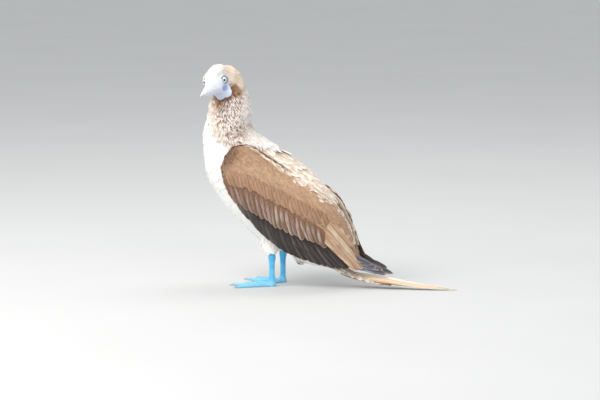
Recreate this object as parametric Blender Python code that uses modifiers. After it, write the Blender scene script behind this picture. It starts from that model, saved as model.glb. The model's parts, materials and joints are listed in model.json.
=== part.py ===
"""A blue-footed booby at life size, standing at rest with its head turned to its left.

The bird faces -X, its left side is -Y and +Z is up. The floor under its feet is Z = 0.
Sizes are in metres. The tables hold the bird's own outlines, read along the plane of
symmetry of the body, and the head has a frame of its own between the eyes.
"""

import math

import bpy
import bmesh
import numpy as np
from mathutils import Matrix, Vector
from mathutils.bvhtree import BVHTree

GAP = 0.0003            # clearance between neighbouring pieces
SIDES = {"left": -1.0, "right": 1.0}

# Body and neck, from the tail's root to the top of the neck: the point on the belly side,
# the point on the back side (X, Z each), the half width, and how far the section lies to the
# right, where the neck gives way to the turned head.
BODY_STATIONS = [
    (0.136, 0.030, 0.150, 0.050, 0.012, 0.0),
    (0.112, 0.036, 0.140, 0.072, 0.025, 0.0),
    (0.078, 0.041, 0.140, 0.110, 0.039, 0.0),
    (0.028, 0.054, 0.132, 0.148, 0.050, 0.0),
    (-0.015, 0.080, 0.113, 0.184, 0.057, 0.0),
    (-0.050, 0.108, 0.088, 0.212, 0.060, 0.0),
    (-0.085, 0.143, 0.056, 0.240, 0.062, 0.0),
    (-0.112, 0.180, 0.022, 0.263, 0.062, 0.0),
    (-0.129, 0.212, -0.010, 0.281, 0.060, 0.0),
    (-0.137, 0.245, -0.030, 0.295, 0.056, 0.0),
    (-0.139, 0.285, -0.041, 0.309, 0.049, 0.0),
    (-0.134, 0.312, -0.041, 0.324, 0.044, 0.001),
    (-0.127, 0.332, -0.041, 0.340, 0.040, 0.004),
    (-0.122, 0.350, -0.043, 0.355, 0.036, 0.009),
    (-0.118, 0.366, -0.047, 0.372, 0.031, 0.013),
    (-0.113, 0.384, -0.053, 0.388, 0.026, 0.016),
    (-0.105, 0.400, -0.062, 0.403, 0.021, 0.017),
    (-0.096, 0.411, -0.072, 0.413, 0.013, 0.017),
]
KEEL = 0.10             # how much narrower the belly side of a section is than its back
BODY_SEGMENTS = 40
EVEN_SIZE = 0.0035      # size of the cells when the flesh is made even
SMOOTH_ROUNDS = 7
KEPT_SHARE = 0.050      # share of the flesh's triangles that is kept

# Planes that part the head from the neck, the neck from the torso and the torso from the tail
NECK_TOP = (-0.090, 0.0, 0.3560)
NECK_TOP_WAY = Vector((0.0, 0.0, 1.0))
NECK_FOOT = (-0.090, 0.0, 0.2985)
NECK_FOOT_WAY = Vector((-0.12, 0.0, 1.0)).normalized()
TAIL_PLANE = (0.126, 0.0, 0.050)
TAIL_WAY = Vector((0.92, 0.0, -0.39)).normalized()

# Head, in its own frame: X to the bill, Y to its left, Z up, from the point between the eyes.
HEAD_AT = (-0.1064, -0.022, 0.392)
HEAD_TURN = math.radians(91)
HEAD_DOWN = math.radians(1)
HEAD_ROLL = math.radians(8)
# X, top, bottom, half width
HEAD_STATIONS = [
    (-0.047, 0.006, -0.006, 0.006),
    (-0.043, 0.013, -0.014, 0.014),
    (-0.034, 0.0225, -0.022, 0.0205),
    (-0.023, 0.0290, -0.0265, 0.0250),
    (-0.011, 0.0315, -0.0285, 0.0258),
    (-0.003, 0.0305, -0.0285, 0.0238),
    (0.004, 0.0265, -0.0280, 0.0208),
    (0.011, 0.0185, -0.0262, 0.0182),
    (0.018, 0.0115, -0.0245, 0.0162),
    (0.030, 0.0060, -0.0220, 0.0130),
    (0.042, 0.0030, -0.0200, 0.0100),
]
NAPE_AT = (-0.096, 0.010, 0.388)
NAPE_SIZE = (0.033, 0.031, 0.0305)
BILL_BASE = 0.018
# X, top of the upper bill, line of the mouth, bottom of the lower bill, half width
BILL_STATIONS = [
    (BILL_BASE, 0.0112, -0.0128, -0.0238, 0.0158),
    (0.030, 0.0062, -0.0128, -0.0220, 0.0128),
    (0.044, 0.0026, -0.0127, -0.0202, 0.0101),
    (0.060, -0.0006, -0.0126, -0.0186, 0.0078),
    (0.078, -0.0036, -0.0125, -0.0172, 0.0058),
    (0.094, -0.0062, -0.0126, -0.0161, 0.0043),
    (0.106, -0.0086, -0.0130, -0.0153, 0.0031),
    (0.114, -0.0110, -0.0138, -0.0150, 0.0019),
    (0.1175, -0.0132, -0.0145, -0.0150, 0.0008),
]
EYE_AT = (-0.0005, 0.0165, 0.0005)
EYE_RADIUS = 0.0080
EYE_FORWARD = math.radians(24)      # how far the eyes look forward of sideways
LID_RADIUS = 0.0064
LID_THICKNESS = 0.0012
MOUTH_BACK = -0.007                 # where the corner of the mouth ends, under the eye
MOUTH_GAP = 0.0007

# Wings folded along the flanks, from the shoulder to the tip: the upper edge and the lower
# edge (X, Z each), then how far the upper edge, the middle and the lower edge stand out from
# the plane of symmetry, and how thick the wing is.
WING_STATIONS = [
    (-0.081, 0.242, -0.091, 0.224, 0.0505, 0.0530, 0.0525, 0.006),
    (-0.064, 0.259, -0.088, 0.210, 0.0505, 0.0575, 0.0535, 0.012),
    (-0.038, 0.268, -0.083, 0.186, 0.0530, 0.0665, 0.0560, 0.018),
    (-0.006, 0.251, -0.064, 0.156, 0.0515, 0.0715, 0.0540, 0.020),
    (0.032, 0.227, -0.036, 0.122, 0.0500, 0.0735, 0.0500, 0.020),
    (0.070, 0.204, 0.004, 0.090, 0.0460, 0.0730, 0.0470, 0.019),
    (0.104, 0.184, 0.047, 0.067, 0.0390, 0.0690, 0.0440, 0.017),
    (0.130, 0.162, 0.088, 0.052, 0.0300, 0.0600, 0.0395, 0.014),
    (0.147, 0.132, 0.120, 0.042, 0.0225, 0.0480, 0.0360, 0.011),
    (0.159, 0.102, 0.144, 0.036, 0.0165, 0.0365, 0.0315, 0.008),
    (0.170, 0.075, 0.165, 0.0325, 0.0115, 0.0260, 0.0265, 0.006),
    (0.185, 0.051, 0.188, 0.0300, 0.0080, 0.0165, 0.0195, 0.004),
    (0.206, 0.036, 0.210, 0.0275, 0.0060, 0.0110, 0.0135, 0.003),
    (0.227, 0.0295, 0.228, 0.0265, 0.0050, 0.0080, 0.0095, 0.002),
]
ARM_STATIONS = 10                   # the fleshy part of the wing ends at this station
ARM_SINK = 0.0035                   # the arm's surface lies this far under the feathers'
SINK_FROM = (0.25, 0.45)            # shares of the way down between which it sinks
FEATHER_THICKNESS = 0.0008
FEATHER_SEED = {"left": 17, "right": 19}
RIGHT_TIP_LONGER = 0.008            # the far wing's point lies this much further back
WING_MIDDLE = 0.0012                # no wing comes nearer to the plane of symmetry
OVER_INNER_FACE = 0.00128           # a feather's top stays this far over the inner face

# Tiers of the folded wing: where the feathers' roots and their points lie (X, Z each).
COVERT_ROOTS = [(-0.064, 0.208), (-0.022, 0.204), (0.022, 0.187), (0.064, 0.162), (0.104, 0.140)]
COVERT_TIPS = [(-0.054, 0.154), (-0.010, 0.137), (0.034, 0.117), (0.078, 0.098), (0.118, 0.084)]
SECONDARY_ROOTS = [(-0.048, 0.172), (-0.012, 0.156), (0.030, 0.137), (0.070, 0.116), (0.106, 0.098)]
SECONDARY_TIPS = [(-0.016, 0.110), (0.032, 0.072), (0.078, 0.053), (0.120, 0.043), (0.157, 0.037)]
TERTIAL_ROOTS = [(0.106, 0.128), (0.110, 0.141), (0.114, 0.153)]
TERTIAL_TIPS = [(0.173, 0.044), (0.175, 0.058), (0.165, 0.078)]
PRIMARY_ROOTS = [(0.116, 0.062), (0.120, 0.070), (0.124, 0.079)]
PRIMARY_TIPS = [(0.2290, 0.0285), (0.2140, 0.0360), (0.1990, 0.0450)]
PRIMARY_X = (0.110, 0.150, 0.175, 0.200, 0.230)
PRIMARY_OUT = (0.0390, 0.0320, 0.0205, 0.0115, 0.0075)  # how far out they lie at those
# tier: roots, tips, count, half width, heights over the surface, tilt, taper, and the
# height that each feather has over the one before
TIERS = {
    "covert": (COVERT_ROOTS, COVERT_TIPS, 10, 0.0108,
               (-0.008, 0.0040, 0.0048, 0.0044), 0.12, 0.16, 0),
    "secondary": (SECONDARY_ROOTS, SECONDARY_TIPS, 8, 0.0112,
                  (-0.010, -0.0004, 0.0012, 0.0008), 0.13, 0.14, 0),
    "tertial": (TERTIAL_ROOTS, TERTIAL_TIPS, 3, 0.0120,
                (-0.009, 0.0046, 0.0052, 0.0034), 0.10, 0.22, 0.0008),
    "primary": (PRIMARY_ROOTS, PRIMARY_TIPS, 3, 0.0080,
                (0, 0, 0, 0), 0.10, 0.34, 0.0012),
}

# Tail: the middle line of its underside (X, Z), how thick and how wide it is.
TAIL_STATIONS = [
    (0.118, 0.036, 0.0200, 0.0200),
    (0.135, 0.0285, 0.0140, 0.0205),
    (0.155, 0.0215, 0.0100, 0.0205),
    (0.178, 0.0155, 0.0074, 0.0200),
    (0.205, 0.0100, 0.0054, 0.0190),
    (0.235, 0.0055, 0.0038, 0.0165),
]
TAIL_TIP_X = 0.362
TAIL_FLOOR_X = 0.290                # behind this the tail lies on the floor
TAIL_ROOT_X = 0.152                 # where the tail's feathers start inside its root
TAIL_ROOT_RISE = 0.0035
TAIL_PAIRS = 6
TAIL_LENGTHS = (1.0, 0.92, 0.81, 0.70, 0.60, 0.50)
TAIL_X = (0.150, 0.200, 0.240, 0.280, 0.320, 0.362)
TAIL_SLOPE = (0.20, 0.42, 0.45, 0.42, 0.35, 0.20)       # slope of the tail's roof at those
TAIL_HALF = (0.0175, 0.0215, 0.0220, 0.0180, 0.0120, 0.0040)

LEG_OUT = 0.029
LEG_X = {"left": 0.007, "right": 0.014}
ANKLE_Z = 0.0575
FOOT_TOP_Z = 0.0098
# Height, centre ahead of the leg's line, half depth, half width and how far the section
# leans inward, for the thigh, the shank and the heel
THIGH_STATIONS = [
    (ANKLE_Z + GAP, 0.0005, 0.0088, 0.0078, 0.0),
    (0.062, 0.0000, 0.0105, 0.0095, 0.0),
    (0.070, -0.0030, 0.0150, 0.0125, 0.0010),
    (0.082, -0.0060, 0.0190, 0.0130, 0.0038),
    (0.096, -0.0070, 0.0195, 0.0108, 0.0070),
    (0.108, -0.0080, 0.0165, 0.0090, 0.0085),
]
SHANK_STATIONS = [
    (FOOT_TOP_Z + GAP, 0.0000, 0.0066, 0.0052, 0.0),
    (0.015, 0.0004, 0.0056, 0.0042, 0.0),
    (0.024, 0.0006, 0.0053, 0.0038, 0.0),
    (0.036, 0.0005, 0.0054, 0.0038, 0.0),
    (0.046, 0.0003, 0.0058, 0.0043, 0.0),
    (0.053, 0.0006, 0.0070, 0.0055, 0.0),
    (ANKLE_Z, 0.0005, 0.0072, 0.0058, 0.0),
]
HEEL_STATIONS = [
    (0.0, 0.0, 0.0078, 0.0062, 0.0),
    (0.0040, 0.0003, 0.0082, 0.0066, 0.0),
    (0.0075, 0.0, 0.0074, 0.0060, 0.0),
    (FOOT_TOP_Z, 0.0, 0.0066, 0.0052, 0.0),
]
# Toes: name, angle outward from straight ahead, length to the claw, half width at the root
TOES = [
    ("outer", math.radians(33), 0.069, 0.0042),
    ("middle", math.radians(8), 0.073, 0.0045),
    ("inner", math.radians(-19), 0.055, 0.0042),
    ("hind", math.radians(-66), 0.025, 0.0034),
]
CLAW_LENGTH = {"outer": 0.008, "middle": 0.010, "inner": 0.008, "hind": 0.007}
WEB_LOW = 0.0007
WEB_HIGH = 0.0021
WEB_REACH = 0.93                    # share of a toe's length that the web runs to
WEB_HOLLOW = 0.84                   # how far out the web reaches between two toes

COLOURS = {
    "white_feathers": ((0.86, 0.85, 0.82), 0.85),
    "streaked_feathers": ((0.62, 0.50, 0.38), 0.85),
    "wing_feathers": ((0.36, 0.24, 0.15), 0.75),
    "tail_feathers": ((0.74, 0.64, 0.54), 0.75),
    "bill_horn": ((0.45, 0.53, 0.60), 0.40),
    "eye": ((0.80, 0.76, 0.45), 0.08),
    "blue_skin": ((0.10, 0.45, 0.72), 0.50),
    "claw_horn": ((0.55, 0.56, 0.58), 0.40),
}


def clear_scene():
    """Removes whatever the scene holds."""
    for thing in list(bpy.data.objects):
        bpy.data.objects.remove(thing)


def new_collection(name):
    made = bpy.data.collections.new(name)
    bpy.context.scene.collection.children.link(made)
    return made


def material(name):
    """The material of a slot, made when it is first asked for."""
    colour, roughness = COLOURS[name]
    made = bpy.data.materials.get(name) or bpy.data.materials.new(name)
    made.use_nodes = True
    shader = made.node_tree.nodes["Principled BSDF"]
    shader.inputs["Base Color"].default_value = (*colour, 1.0)
    shader.inputs["Roughness"].default_value = roughness
    return made


def smooth_rows(rows, steps):
    """The rows of a table with steps rows in each interval, on a Catmull-Rom curve."""
    rows = np.array(rows, float)
    around = np.vstack([2 * rows[0] - rows[1], rows, 2 * rows[-1] - rows[-2]])
    made = []
    for before, here, there, after in zip(around, around[1:], around[2:], around[3:]):
        for step in range(steps):
            t = step / steps
            made.append(
                here
                + 0.5 * t * (there - before)
                + t * t * (before - 2.5 * here + 2 * there - 0.5 * after)
                + t ** 3 * 0.5 * (3 * here - before - 3 * there + after)
            )
    made.append(rows[-1])
    return np.array(made)


def mesh_object(name, points, faces, look, collection):
    """An object of points and faces, with its faces turned outward."""
    mesh = bpy.data.meshes.new(name)
    mesh.from_pydata([tuple(p) for p in points], [], faces)
    form = bmesh.new()
    form.from_mesh(mesh)
    bmesh.ops.recalc_face_normals(form, faces=form.faces)
    form.to_mesh(mesh)
    form.free()
    made = bpy.data.objects.new(name, mesh)
    mesh.materials.append(material(look))
    collection.objects.link(made)
    return made


def loft(name, rings, look, collection):
    """A closed form through rings of equal count, with a fan at each end."""
    count = len(rings[0])
    points = [p for ring in rings for p in ring]
    faces = []
    for row in range(len(rings) - 1):
        for k in range(count):
            a, b = row * count + k, row * count + (k + 1) % count
            faces += [(a, b, b + count), (a, b + count, a + count)]
    for row in (0, len(rings) - 1):
        middle = len(points)
        points.append(np.mean(np.array(rings[row], float), axis=0))
        faces += [(row * count + k, row * count + (k + 1) % count, middle) for k in range(count)]
    return mesh_object(name, points, faces, look, collection)


def vane(name, rows, thickness, look, collection):
    """One feather: a blade through rows of (one edge, shaft, other edge, up).

    The shaft stands up a little. Both faces are split into triangles alike.
    """
    points, faces = [], []
    for one, shaft, other, up in rows:
        for p in (one, shaft + up * (0.35 * thickness), other):
            points += [p, p - up * thickness]
    last = (len(rows) - 1) * 6
    for a in range(0, last, 6):
        for k in (0, 2):
            faces += [(a + k, a + k + 2, a + k + 8), (a + k, a + k + 8, a + k + 6)]
            faces += [(a + k + 1, a + k + 9, a + k + 3), (a + k + 1, a + k + 7, a + k + 9)]
        faces += [(a, a + 6, a + 7), (a, a + 7, a + 1)]
        faces += [(a + 4, a + 11, a + 10), (a + 4, a + 5, a + 11)]
    for a in (0, last):
        faces += [(a, a + 1, a + 3), (a, a + 3, a + 2), (a + 2, a + 3, a + 5), (a + 2, a + 5, a + 4)]
    return mesh_object(name, points, faces, look, collection)


def applied(target):
    """Makes the object's modifiers part of its mesh."""
    graph = bpy.context.evaluated_depsgraph_get()
    mesh = bpy.data.meshes.new_from_object(target.evaluated_get(graph))
    target.modifiers.clear()
    target.data = mesh
    return target


def keep_largest(target):
    """Keeps the largest closed surface of a mesh."""
    form = bmesh.new()
    form.from_mesh(target.data)
    unseen, groups = set(form.verts), []
    while unseen:
        queue, group = [unseen.pop()], []
        while queue:
            vert = queue.pop()
            group.append(vert)
            for edge in vert.link_edges:
                other = edge.other_vert(vert)
                if other in unseen:
                    unseen.remove(other)
                    queue.append(other)
        groups.append(group)
    groups.sort(key=len)
    bmesh.ops.delete(form, geom=[v for group in groups[:-1] for v in group], context="VERTS")
    form.to_mesh(target.data)
    form.free()


def boolean(target, operation, pieces, solver="EXACT"):
    """One Boolean with all the pieces, applied; the pieces are then removed."""
    group = new_collection("pieces")
    for piece in pieces:
        for owner in list(piece.users_collection):
            owner.objects.unlink(piece)
        group.objects.link(piece)
    step = target.modifiers.new("join", "BOOLEAN")
    step.operation = operation
    step.operand_type = "COLLECTION"
    step.collection = group
    step.solver = solver
    applied(target)
    for piece in list(group.objects):
        bpy.data.objects.remove(piece)
    bpy.data.collections.remove(group)
    keep_largest(target)
    return target


def cut_at(target, point, normal):
    """Removes what lies ahead of a plane and closes the cut with a flat face."""
    form = bmesh.new()
    form.from_mesh(target.data)
    cut = bmesh.ops.bisect_plane(
        form, geom=[*form.verts, *form.edges, *form.faces], dist=1e-7,
        plane_co=Vector(point), plane_no=Vector(normal), clear_outer=True,
    )
    rim = [e for e in cut["geom_cut"] if isinstance(e, bmesh.types.BMEdge)]
    bmesh.ops.triangle_fill(form, edges=rim, use_beauty=True, use_dissolve=False)
    bmesh.ops.recalc_face_normals(form, faces=form.faces)
    form.to_mesh(target.data)
    form.free()
    return target


def copy_of(source, name, look, collection):
    """A copy of a form, with a name and a material of its own."""
    made = bpy.data.objects.new(name, source.data.copy())
    made.data.materials.clear()
    made.data.materials.append(material(look))
    collection.objects.link(made)
    return made


def body_rings():
    """Sections of the body and neck. A section is narrower on its belly side."""
    rings = []
    for low_x, low_z, high_x, high_z, half, right in smooth_rows(BODY_STATIONS, 3):
        low, high = np.array((low_x, right, low_z)), np.array((high_x, right, high_z))
        centre, reach = (low + high) / 2, (low - high) / 2
        ring = []
        for k in range(BODY_SEGMENTS):
            angle = 2 * math.pi * k / BODY_SEGMENTS
            width = half * math.sin(angle) * (1 - KEEL * math.cos(angle))
            ring.append(centre + reach * math.cos(angle) + np.array((0, width, 0)))
        rings.append(ring)
    return rings


def head_frame():
    """Matrix from the head's own frame to the bird's."""
    turn = Matrix.Rotation(math.pi + HEAD_TURN, 4, "Z")
    nod = Matrix.Rotation(HEAD_DOWN, 4, "Y")
    roll = Matrix.Rotation(HEAD_ROLL, 4, "X")
    return Matrix.Translation(HEAD_AT) @ turn @ nod @ roll


def in_head(points):
    """Points of the head's own frame in the bird's."""
    frame = head_frame()
    return [frame @ Vector(p) for p in points]


def head_rings(segments=24):
    """Sections of the head, upright ellipses from its back to under the bill."""
    rings = []
    for x, top, bottom, half in smooth_rows(HEAD_STATIONS, 2):
        middle, tall = (top + bottom) / 2, (top - bottom) / 2
        ring = []
        for k in range(segments):
            angle = 2 * math.pi * k / segments
            ring.append((x, half * math.sin(angle), middle + tall * math.cos(angle)))
        rings.append(in_head(ring))
    return rings


def nape_form(collection):
    """Flesh that fills the hollow between the back of the turned head and the neck."""
    place = Matrix.Translation(NAPE_AT) @ Matrix.Diagonal((*NAPE_SIZE, 1))
    return from_primitive(
        "nape_form", bmesh.ops.create_uvsphere, place, "white_feathers", collection,
        u_segments=24, v_segments=16, radius=1.0,
    )


def fleshed_out(collection):
    """Body, neck and head as one smooth form."""
    body = loft("body_form", body_rings(), "white_feathers", collection)
    head = loft("head_form", head_rings(), "white_feathers", collection)
    boolean(body, "UNION", [head, nape_form(collection)])
    remesh = body.modifiers.new("even", "REMESH")
    remesh.mode = "VOXEL"
    remesh.voxel_size = EVEN_SIZE
    smooth = body.modifiers.new("smooth", "SMOOTH")
    smooth.factor = 0.5
    smooth.iterations = SMOOTH_ROUNDS
    applied(body)
    thin = body.modifiers.new("fewer", "DECIMATE")
    thin.ratio = KEPT_SHARE
    applied(body)
    return body


def build_head(form, birds):
    """Head with its lids, eye sockets and the corners of the mouth cut in."""
    head = copy_of(form, "head", "streaked_feathers", birds)
    cut_at(head, NECK_TOP, -NECK_TOP_WAY)
    frame = head_frame()
    bill_way = frame.to_3x3() @ Vector((1, 0, 0))
    cut_at(head, frame @ Vector((BILL_BASE - GAP, 0, 0)), bill_way)
    boolean(head, "UNION", [lid_ring(side, birds) for side in SIDES])
    sockets = [eye_ball(f"socket_{side}", side, EYE_RADIUS + GAP, birds) for side in SIDES]
    boolean(head, "DIFFERENCE", [*sockets, mouth_slot(birds)])
    return head


def eye_matrix(side):
    """Frame of one eye, looking along +Z."""
    out = -SIDES[side]
    look = Vector((math.sin(EYE_FORWARD), out * math.cos(EYE_FORWARD), 0))
    place = Vector((EYE_AT[0], out * EYE_AT[1], EYE_AT[2]))
    return head_frame() @ Matrix.Translation(place) @ look.to_track_quat("Z", "Y").to_matrix().to_4x4()


def from_primitive(name, make, place, look, collection, **sizes):
    """An object from one of the ready forms, triangulated."""
    form = bmesh.new()
    make(form, matrix=place, **sizes)
    bmesh.ops.triangulate(form, faces=form.faces)
    mesh = bpy.data.meshes.new(name)
    form.to_mesh(mesh)
    form.free()
    mesh.materials.append(material(look))
    made = bpy.data.objects.new(name, mesh)
    collection.objects.link(made)
    return made


def eye_ball(name, side, radius, collection):
    """An eyeball, or the socket that it lies in."""
    return from_primitive(
        name, bmesh.ops.create_uvsphere, eye_matrix(side), "eye", collection,
        u_segments=12, v_segments=8, radius=radius,
    )


def lid_ring(side, collection):
    """The bare rim round an eye: a ring that lies on the eyeball."""
    rings = []
    height = math.sqrt(EYE_RADIUS ** 2 - LID_RADIUS ** 2)
    for k in range(16):
        around = 2 * math.pi * k / 16
        ring = []
        for j in range(6):
            about = 2 * math.pi * j / 6
            out = LID_RADIUS + LID_THICKNESS * math.cos(about)
            up = height + LID_THICKNESS * math.sin(about)
            ring.append(eye_matrix(side) @ Vector((out * math.cos(around), out * math.sin(around), up)))
        rings.append(ring)
    count = len(rings[0])
    points = [p for ring in rings for p in ring]
    faces = []
    for row in range(len(rings)):
        for k in range(count):
            a, b = row * count + k, row * count + (k + 1) % count
            c, d = (a + count) % len(points), (b + count) % len(points)
            faces += [(a, b, d), (a, d, c)]
    return mesh_object(f"lid_{side}", points, faces, "bill_horn", collection)


def mouth_slot(collection):
    """The thin cut that carries the line of the mouth back under the eyes."""
    length = BILL_BASE + 0.004 - MOUTH_BACK
    middle = Vector((MOUTH_BACK + length / 2, 0, BILL_STATIONS[0][2]))
    size = Matrix.Diagonal((length, 0.08, MOUTH_GAP, 1))
    return from_primitive(
        "mouth_slot", bmesh.ops.create_cube, head_frame() @ Matrix.Translation(middle) @ size,
        "bill_horn", collection, size=1.0,
    )


def build_bill(birds):
    """Upper and lower bill, parted along the line of the mouth."""
    rows = smooth_rows(BILL_STATIONS, 1)
    for name, rise in (("bill_upper", 1), ("bill_lower", -1)):
        rings = []
        for x, top, mouth, bottom, half in rows:
            base = mouth + rise * GAP / 2
            tall = (top if rise > 0 else bottom) - base
            tall = rise * max(abs(tall), 0.0006)
            ring = []
            for k in range(9):
                angle = math.pi * k / 8
                ring.append((x, half * math.cos(angle), base + tall * math.sin(angle) ** 0.8))
            ring.append((x, 0.0, base))
            rings.append(in_head(ring))
        loft(name, rings, "bill_horn", birds)


def moved_along(point, normal, distance):
    """The point moved along a direction."""
    return Vector(point) + Vector(normal) * distance


def build_neck(form, birds):
    """Neck, between the planes that part it from the head and the torso."""
    neck = copy_of(form, "neck", "streaked_feathers", birds)
    cut_at(neck, moved_along(NECK_TOP, NECK_TOP_WAY, -GAP), NECK_TOP_WAY)
    cut_at(neck, NECK_FOOT, -NECK_FOOT_WAY)
    return neck


def build_torso(form, birds):
    """Torso, with hollows for the folded wings and the thighs to lie in."""
    torso = copy_of(form, "torso", "white_feathers", birds)
    cut_at(torso, moved_along(NECK_FOOT, NECK_FOOT_WAY, -GAP), NECK_FOOT_WAY)
    cut_at(torso, TAIL_PLANE, TAIL_WAY)
    room = [wing_form(f"room_{side}", side, GAP * 1.4, birds) for side in SIDES]
    room += [thigh_form(f"thigh_room_{side}", side, GAP * 1.2, birds) for side in SIDES]
    boolean(torso, "DIFFERENCE", room)
    return torso


def wing_section(row, side, grow, sink, across=9):
    """One section of a wing, down its outer face and back up its inner face."""
    up_x, up_z, low_x, low_z, up_y, mid_y, low_y, thick = row
    out = SIDES[side]
    top, bottom = np.array((up_x, up_z)), np.array((low_x, low_z))
    way = (top - bottom) / np.linalg.norm(top - bottom)
    top, bottom = top + way * grow, bottom - way * grow
    shares = np.linspace(0, 1, across)
    outer, inner = [], []
    for v in shares:
        x, z = top + (bottom - top) * v
        bulge = 4 * v * (1 - v)
        y = up_y * (1 - v) * (1 - 2 * v) + mid_y * bulge + low_y * v * (2 * v - 1)
        depth = thick * (0.55 + 0.45 * bulge)
        near = max(y - depth, WING_MIDDLE) - grow
        under_feathers = np.interp(v, SINK_FROM, (0, 1))
        far = max(y + grow - sink * (1 + v) * under_feathers, near + FEATHER_THICKNESS)
        outer.append(np.array((x, out * far, z)))
        inner.append(np.array((x, out * near, z)))
    return outer + inner[::-1]


def wing_rows(side, steps):
    """The wing's table, smoothed; the right wing's point reaches further back."""
    rows = smooth_rows(WING_STATIONS, steps)
    if side == "right":
        start, end = rows[len(rows) // 2, 2], rows[-1, 2]
        share = np.clip((rows[:, 2] - start) / (end - start), 0, 1) ** 2
        rows[:, 0] += RIGHT_TIP_LONGER * share
        rows[:, 2] += RIGHT_TIP_LONGER * share
    return rows


def wing_form(name, side, grow, collection, stations=len(WING_STATIONS), sink=0.0, steps=2, across=9):
    """The wing's form from the shoulder to one of its stations."""
    rows = wing_rows(side, steps)[: (stations - 1) * steps + 1]
    rings = [wing_section(row, side, grow, sink, across) for row in rows]
    return loft(name, rings, "wing_feathers", collection)


class WingSurface:
    """The wing's outer face, on which feathers are laid from points of a side view."""

    def __init__(self, side, collection):
        guide = wing_form("guide", side, 0.0, collection, steps=4, across=25)
        form = bmesh.new()
        form.from_mesh(guide.data)
        self.tree = BVHTree.FromBMesh(form)
        form.free()
        bpy.data.objects.remove(guide)
        self.out = SIDES[side]

    def hits(self, x, z):
        """Where a line across the bird at (x, z) meets the outer and the inner face."""
        outward = Vector((0, self.out, 0))
        outer = self.tree.ray_cast(Vector((x, 0.2 * self.out, z)), -outward)[0]
        inner = self.tree.ray_cast(Vector((x, -0.01 * self.out, z)), outward)[0]
        return outer, inner

    def at(self, x, z, lift, layer):
        """The point abreast of (x, z), lift above the face and still outside the inner face.

        Both heights grow by layer. A point past the wing's edge is drawn back to it.
        """
        outer, inner = self.hits(x, z)
        if outer is None:
            edge = self.tree.find_nearest(Vector((x, 0.03 * self.out, z)))[0]
            past = Vector((x - edge.x, 0, z - edge.z))
            inside = edge - past.normalized() * 0.001
            outer, inner = self.hits(inside.x, inside.z)
            if outer is None:
                outer = inner = edge
            x, z = edge.x + 0.12 * past.x, edge.z + 0.12 * past.z
        height = max(abs(outer.y) + lift, abs(inner.y) + OVER_INNER_FACE)
        return Vector((x, self.out * (height + layer), z))


def wing_feather(place, name, root, tip, half, lifts, tilt, point, collection):
    """A feather of the wing, from root to tip (X, Z each), where place(x, z, lift) puts it.

    lifts are its heights over the surface from root to tip. tilt raises its lower edge over
    the next feather, and point is the share of it in which its tip tapers.
    """
    root, tip = np.array(root), np.array(tip)
    way = (tip - root) / np.linalg.norm(tip - root)
    square = np.array((-way[1], way[0]))
    rows = []
    outline = ((0.0, 0.62), (0.26, 0.95), (1 - 1.5 * point, 1.0), (1 - 0.4 * point, 0.66), (1.0, 0.12))
    for share, width in outline:
        lift = np.interp(share, (0, 0.26, 0.5, 1), lifts)
        edges = []
        for across in (-1, 0, 1):
            x, z = root + (tip - root) * share + square * (across * half * width)
            edges.append(place(x, z, lift - across * half * tilt))
        out = 1 if edges[1].y > 0 else -1
        rows.append((*edges, Vector((0, out, 0))))
    return vane(name, rows, FEATHER_THICKNESS, "wing_feathers", collection)


def along_line(points, count):
    """Evenly spread points on a line of (X, Z) points."""
    points = smooth_rows(points, 6)
    run = np.concatenate([[0], np.cumsum(np.linalg.norm(np.diff(points, axis=0), axis=1))])
    marks = np.linspace(0, run[-1], count)
    return np.stack([np.interp(marks, run, points[:, k]) for k in range(points.shape[1])], axis=1)


def build_wing(side, birds):
    """A folded wing: the arm under its small coverts, and four tiers of long feathers."""
    chance = np.random.default_rng(FEATHER_SEED[side])
    surface = WingSurface(side, birds)
    wing = wing_form(f"wing_{side}", side, 0.0, birds, ARM_STATIONS, ARM_SINK)
    feathers = []
    for tier, (roots, tips, count, half, lifts, tilt, point, step) in TIERS.items():
        if side == "right" and tier == "primary":
            tips = [(x + RIGHT_TIP_LONGER, z) for x, z in tips]
        lines = zip(along_line(roots, count), along_line(tips, count))
        for k, (root, tip) in enumerate(lines):
            def place(x, z, lift, layer=step * k):
                if tier != "primary":
                    return surface.at(x, z, lift, layer)
                outward = np.interp(x, PRIMARY_X, PRIMARY_OUT) + lift + layer
                return Vector((x, SIDES[side] * outward, z))
            root, tip = root + chance.normal(0, 0.0006, 2), tip + chance.normal(0, 0.0009, 2)
            wide = half * chance.uniform(0.95, 1.08)
            feathers.append(wing_feather(place, f"{tier}_{k}", root, tip, wide, lifts, tilt, point, birds))
    boolean(wing, "UNION", feathers, "MANIFOLD")
    return wing


def tail_height(x):
    """Height of the tail's underside."""
    rows = smooth_rows(TAIL_STATIONS, 4)
    last = rows[-1]
    if x <= last[0]:
        return float(np.interp(x, rows[:, 0], rows[:, 1]))
    share = min(1.0, (x - last[0]) / (TAIL_FLOOR_X - last[0]))
    return float(last[1] * (1 - share) ** 2)


def build_tail(birds):
    """Root of the tail and its feathers, the middle pair longest and on top."""
    rings = []
    for x, low, thick, half in smooth_rows(TAIL_STATIONS, 2):
        ring = []
        for k in range(14):
            angle = 2 * math.pi * k / 14
            wide = half * 0.86 * math.sin(angle)
            ring.append((x, wide, low + thick * (0.5 - 0.5 * math.cos(angle))))
        rings.append(ring)
    tail = loft("tail", rings, "tail_feathers", birds)
    vanes = []
    for pair in range(TAIL_PAIRS):
        for out in (-1.0, 1.0):
            vanes.append(tail_feather(pair, out, birds))
    boolean(tail, "UNION", vanes)
    cut_at(tail, moved_along(TAIL_PLANE, TAIL_WAY, GAP), -TAIL_WAY)
    return tail


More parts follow.
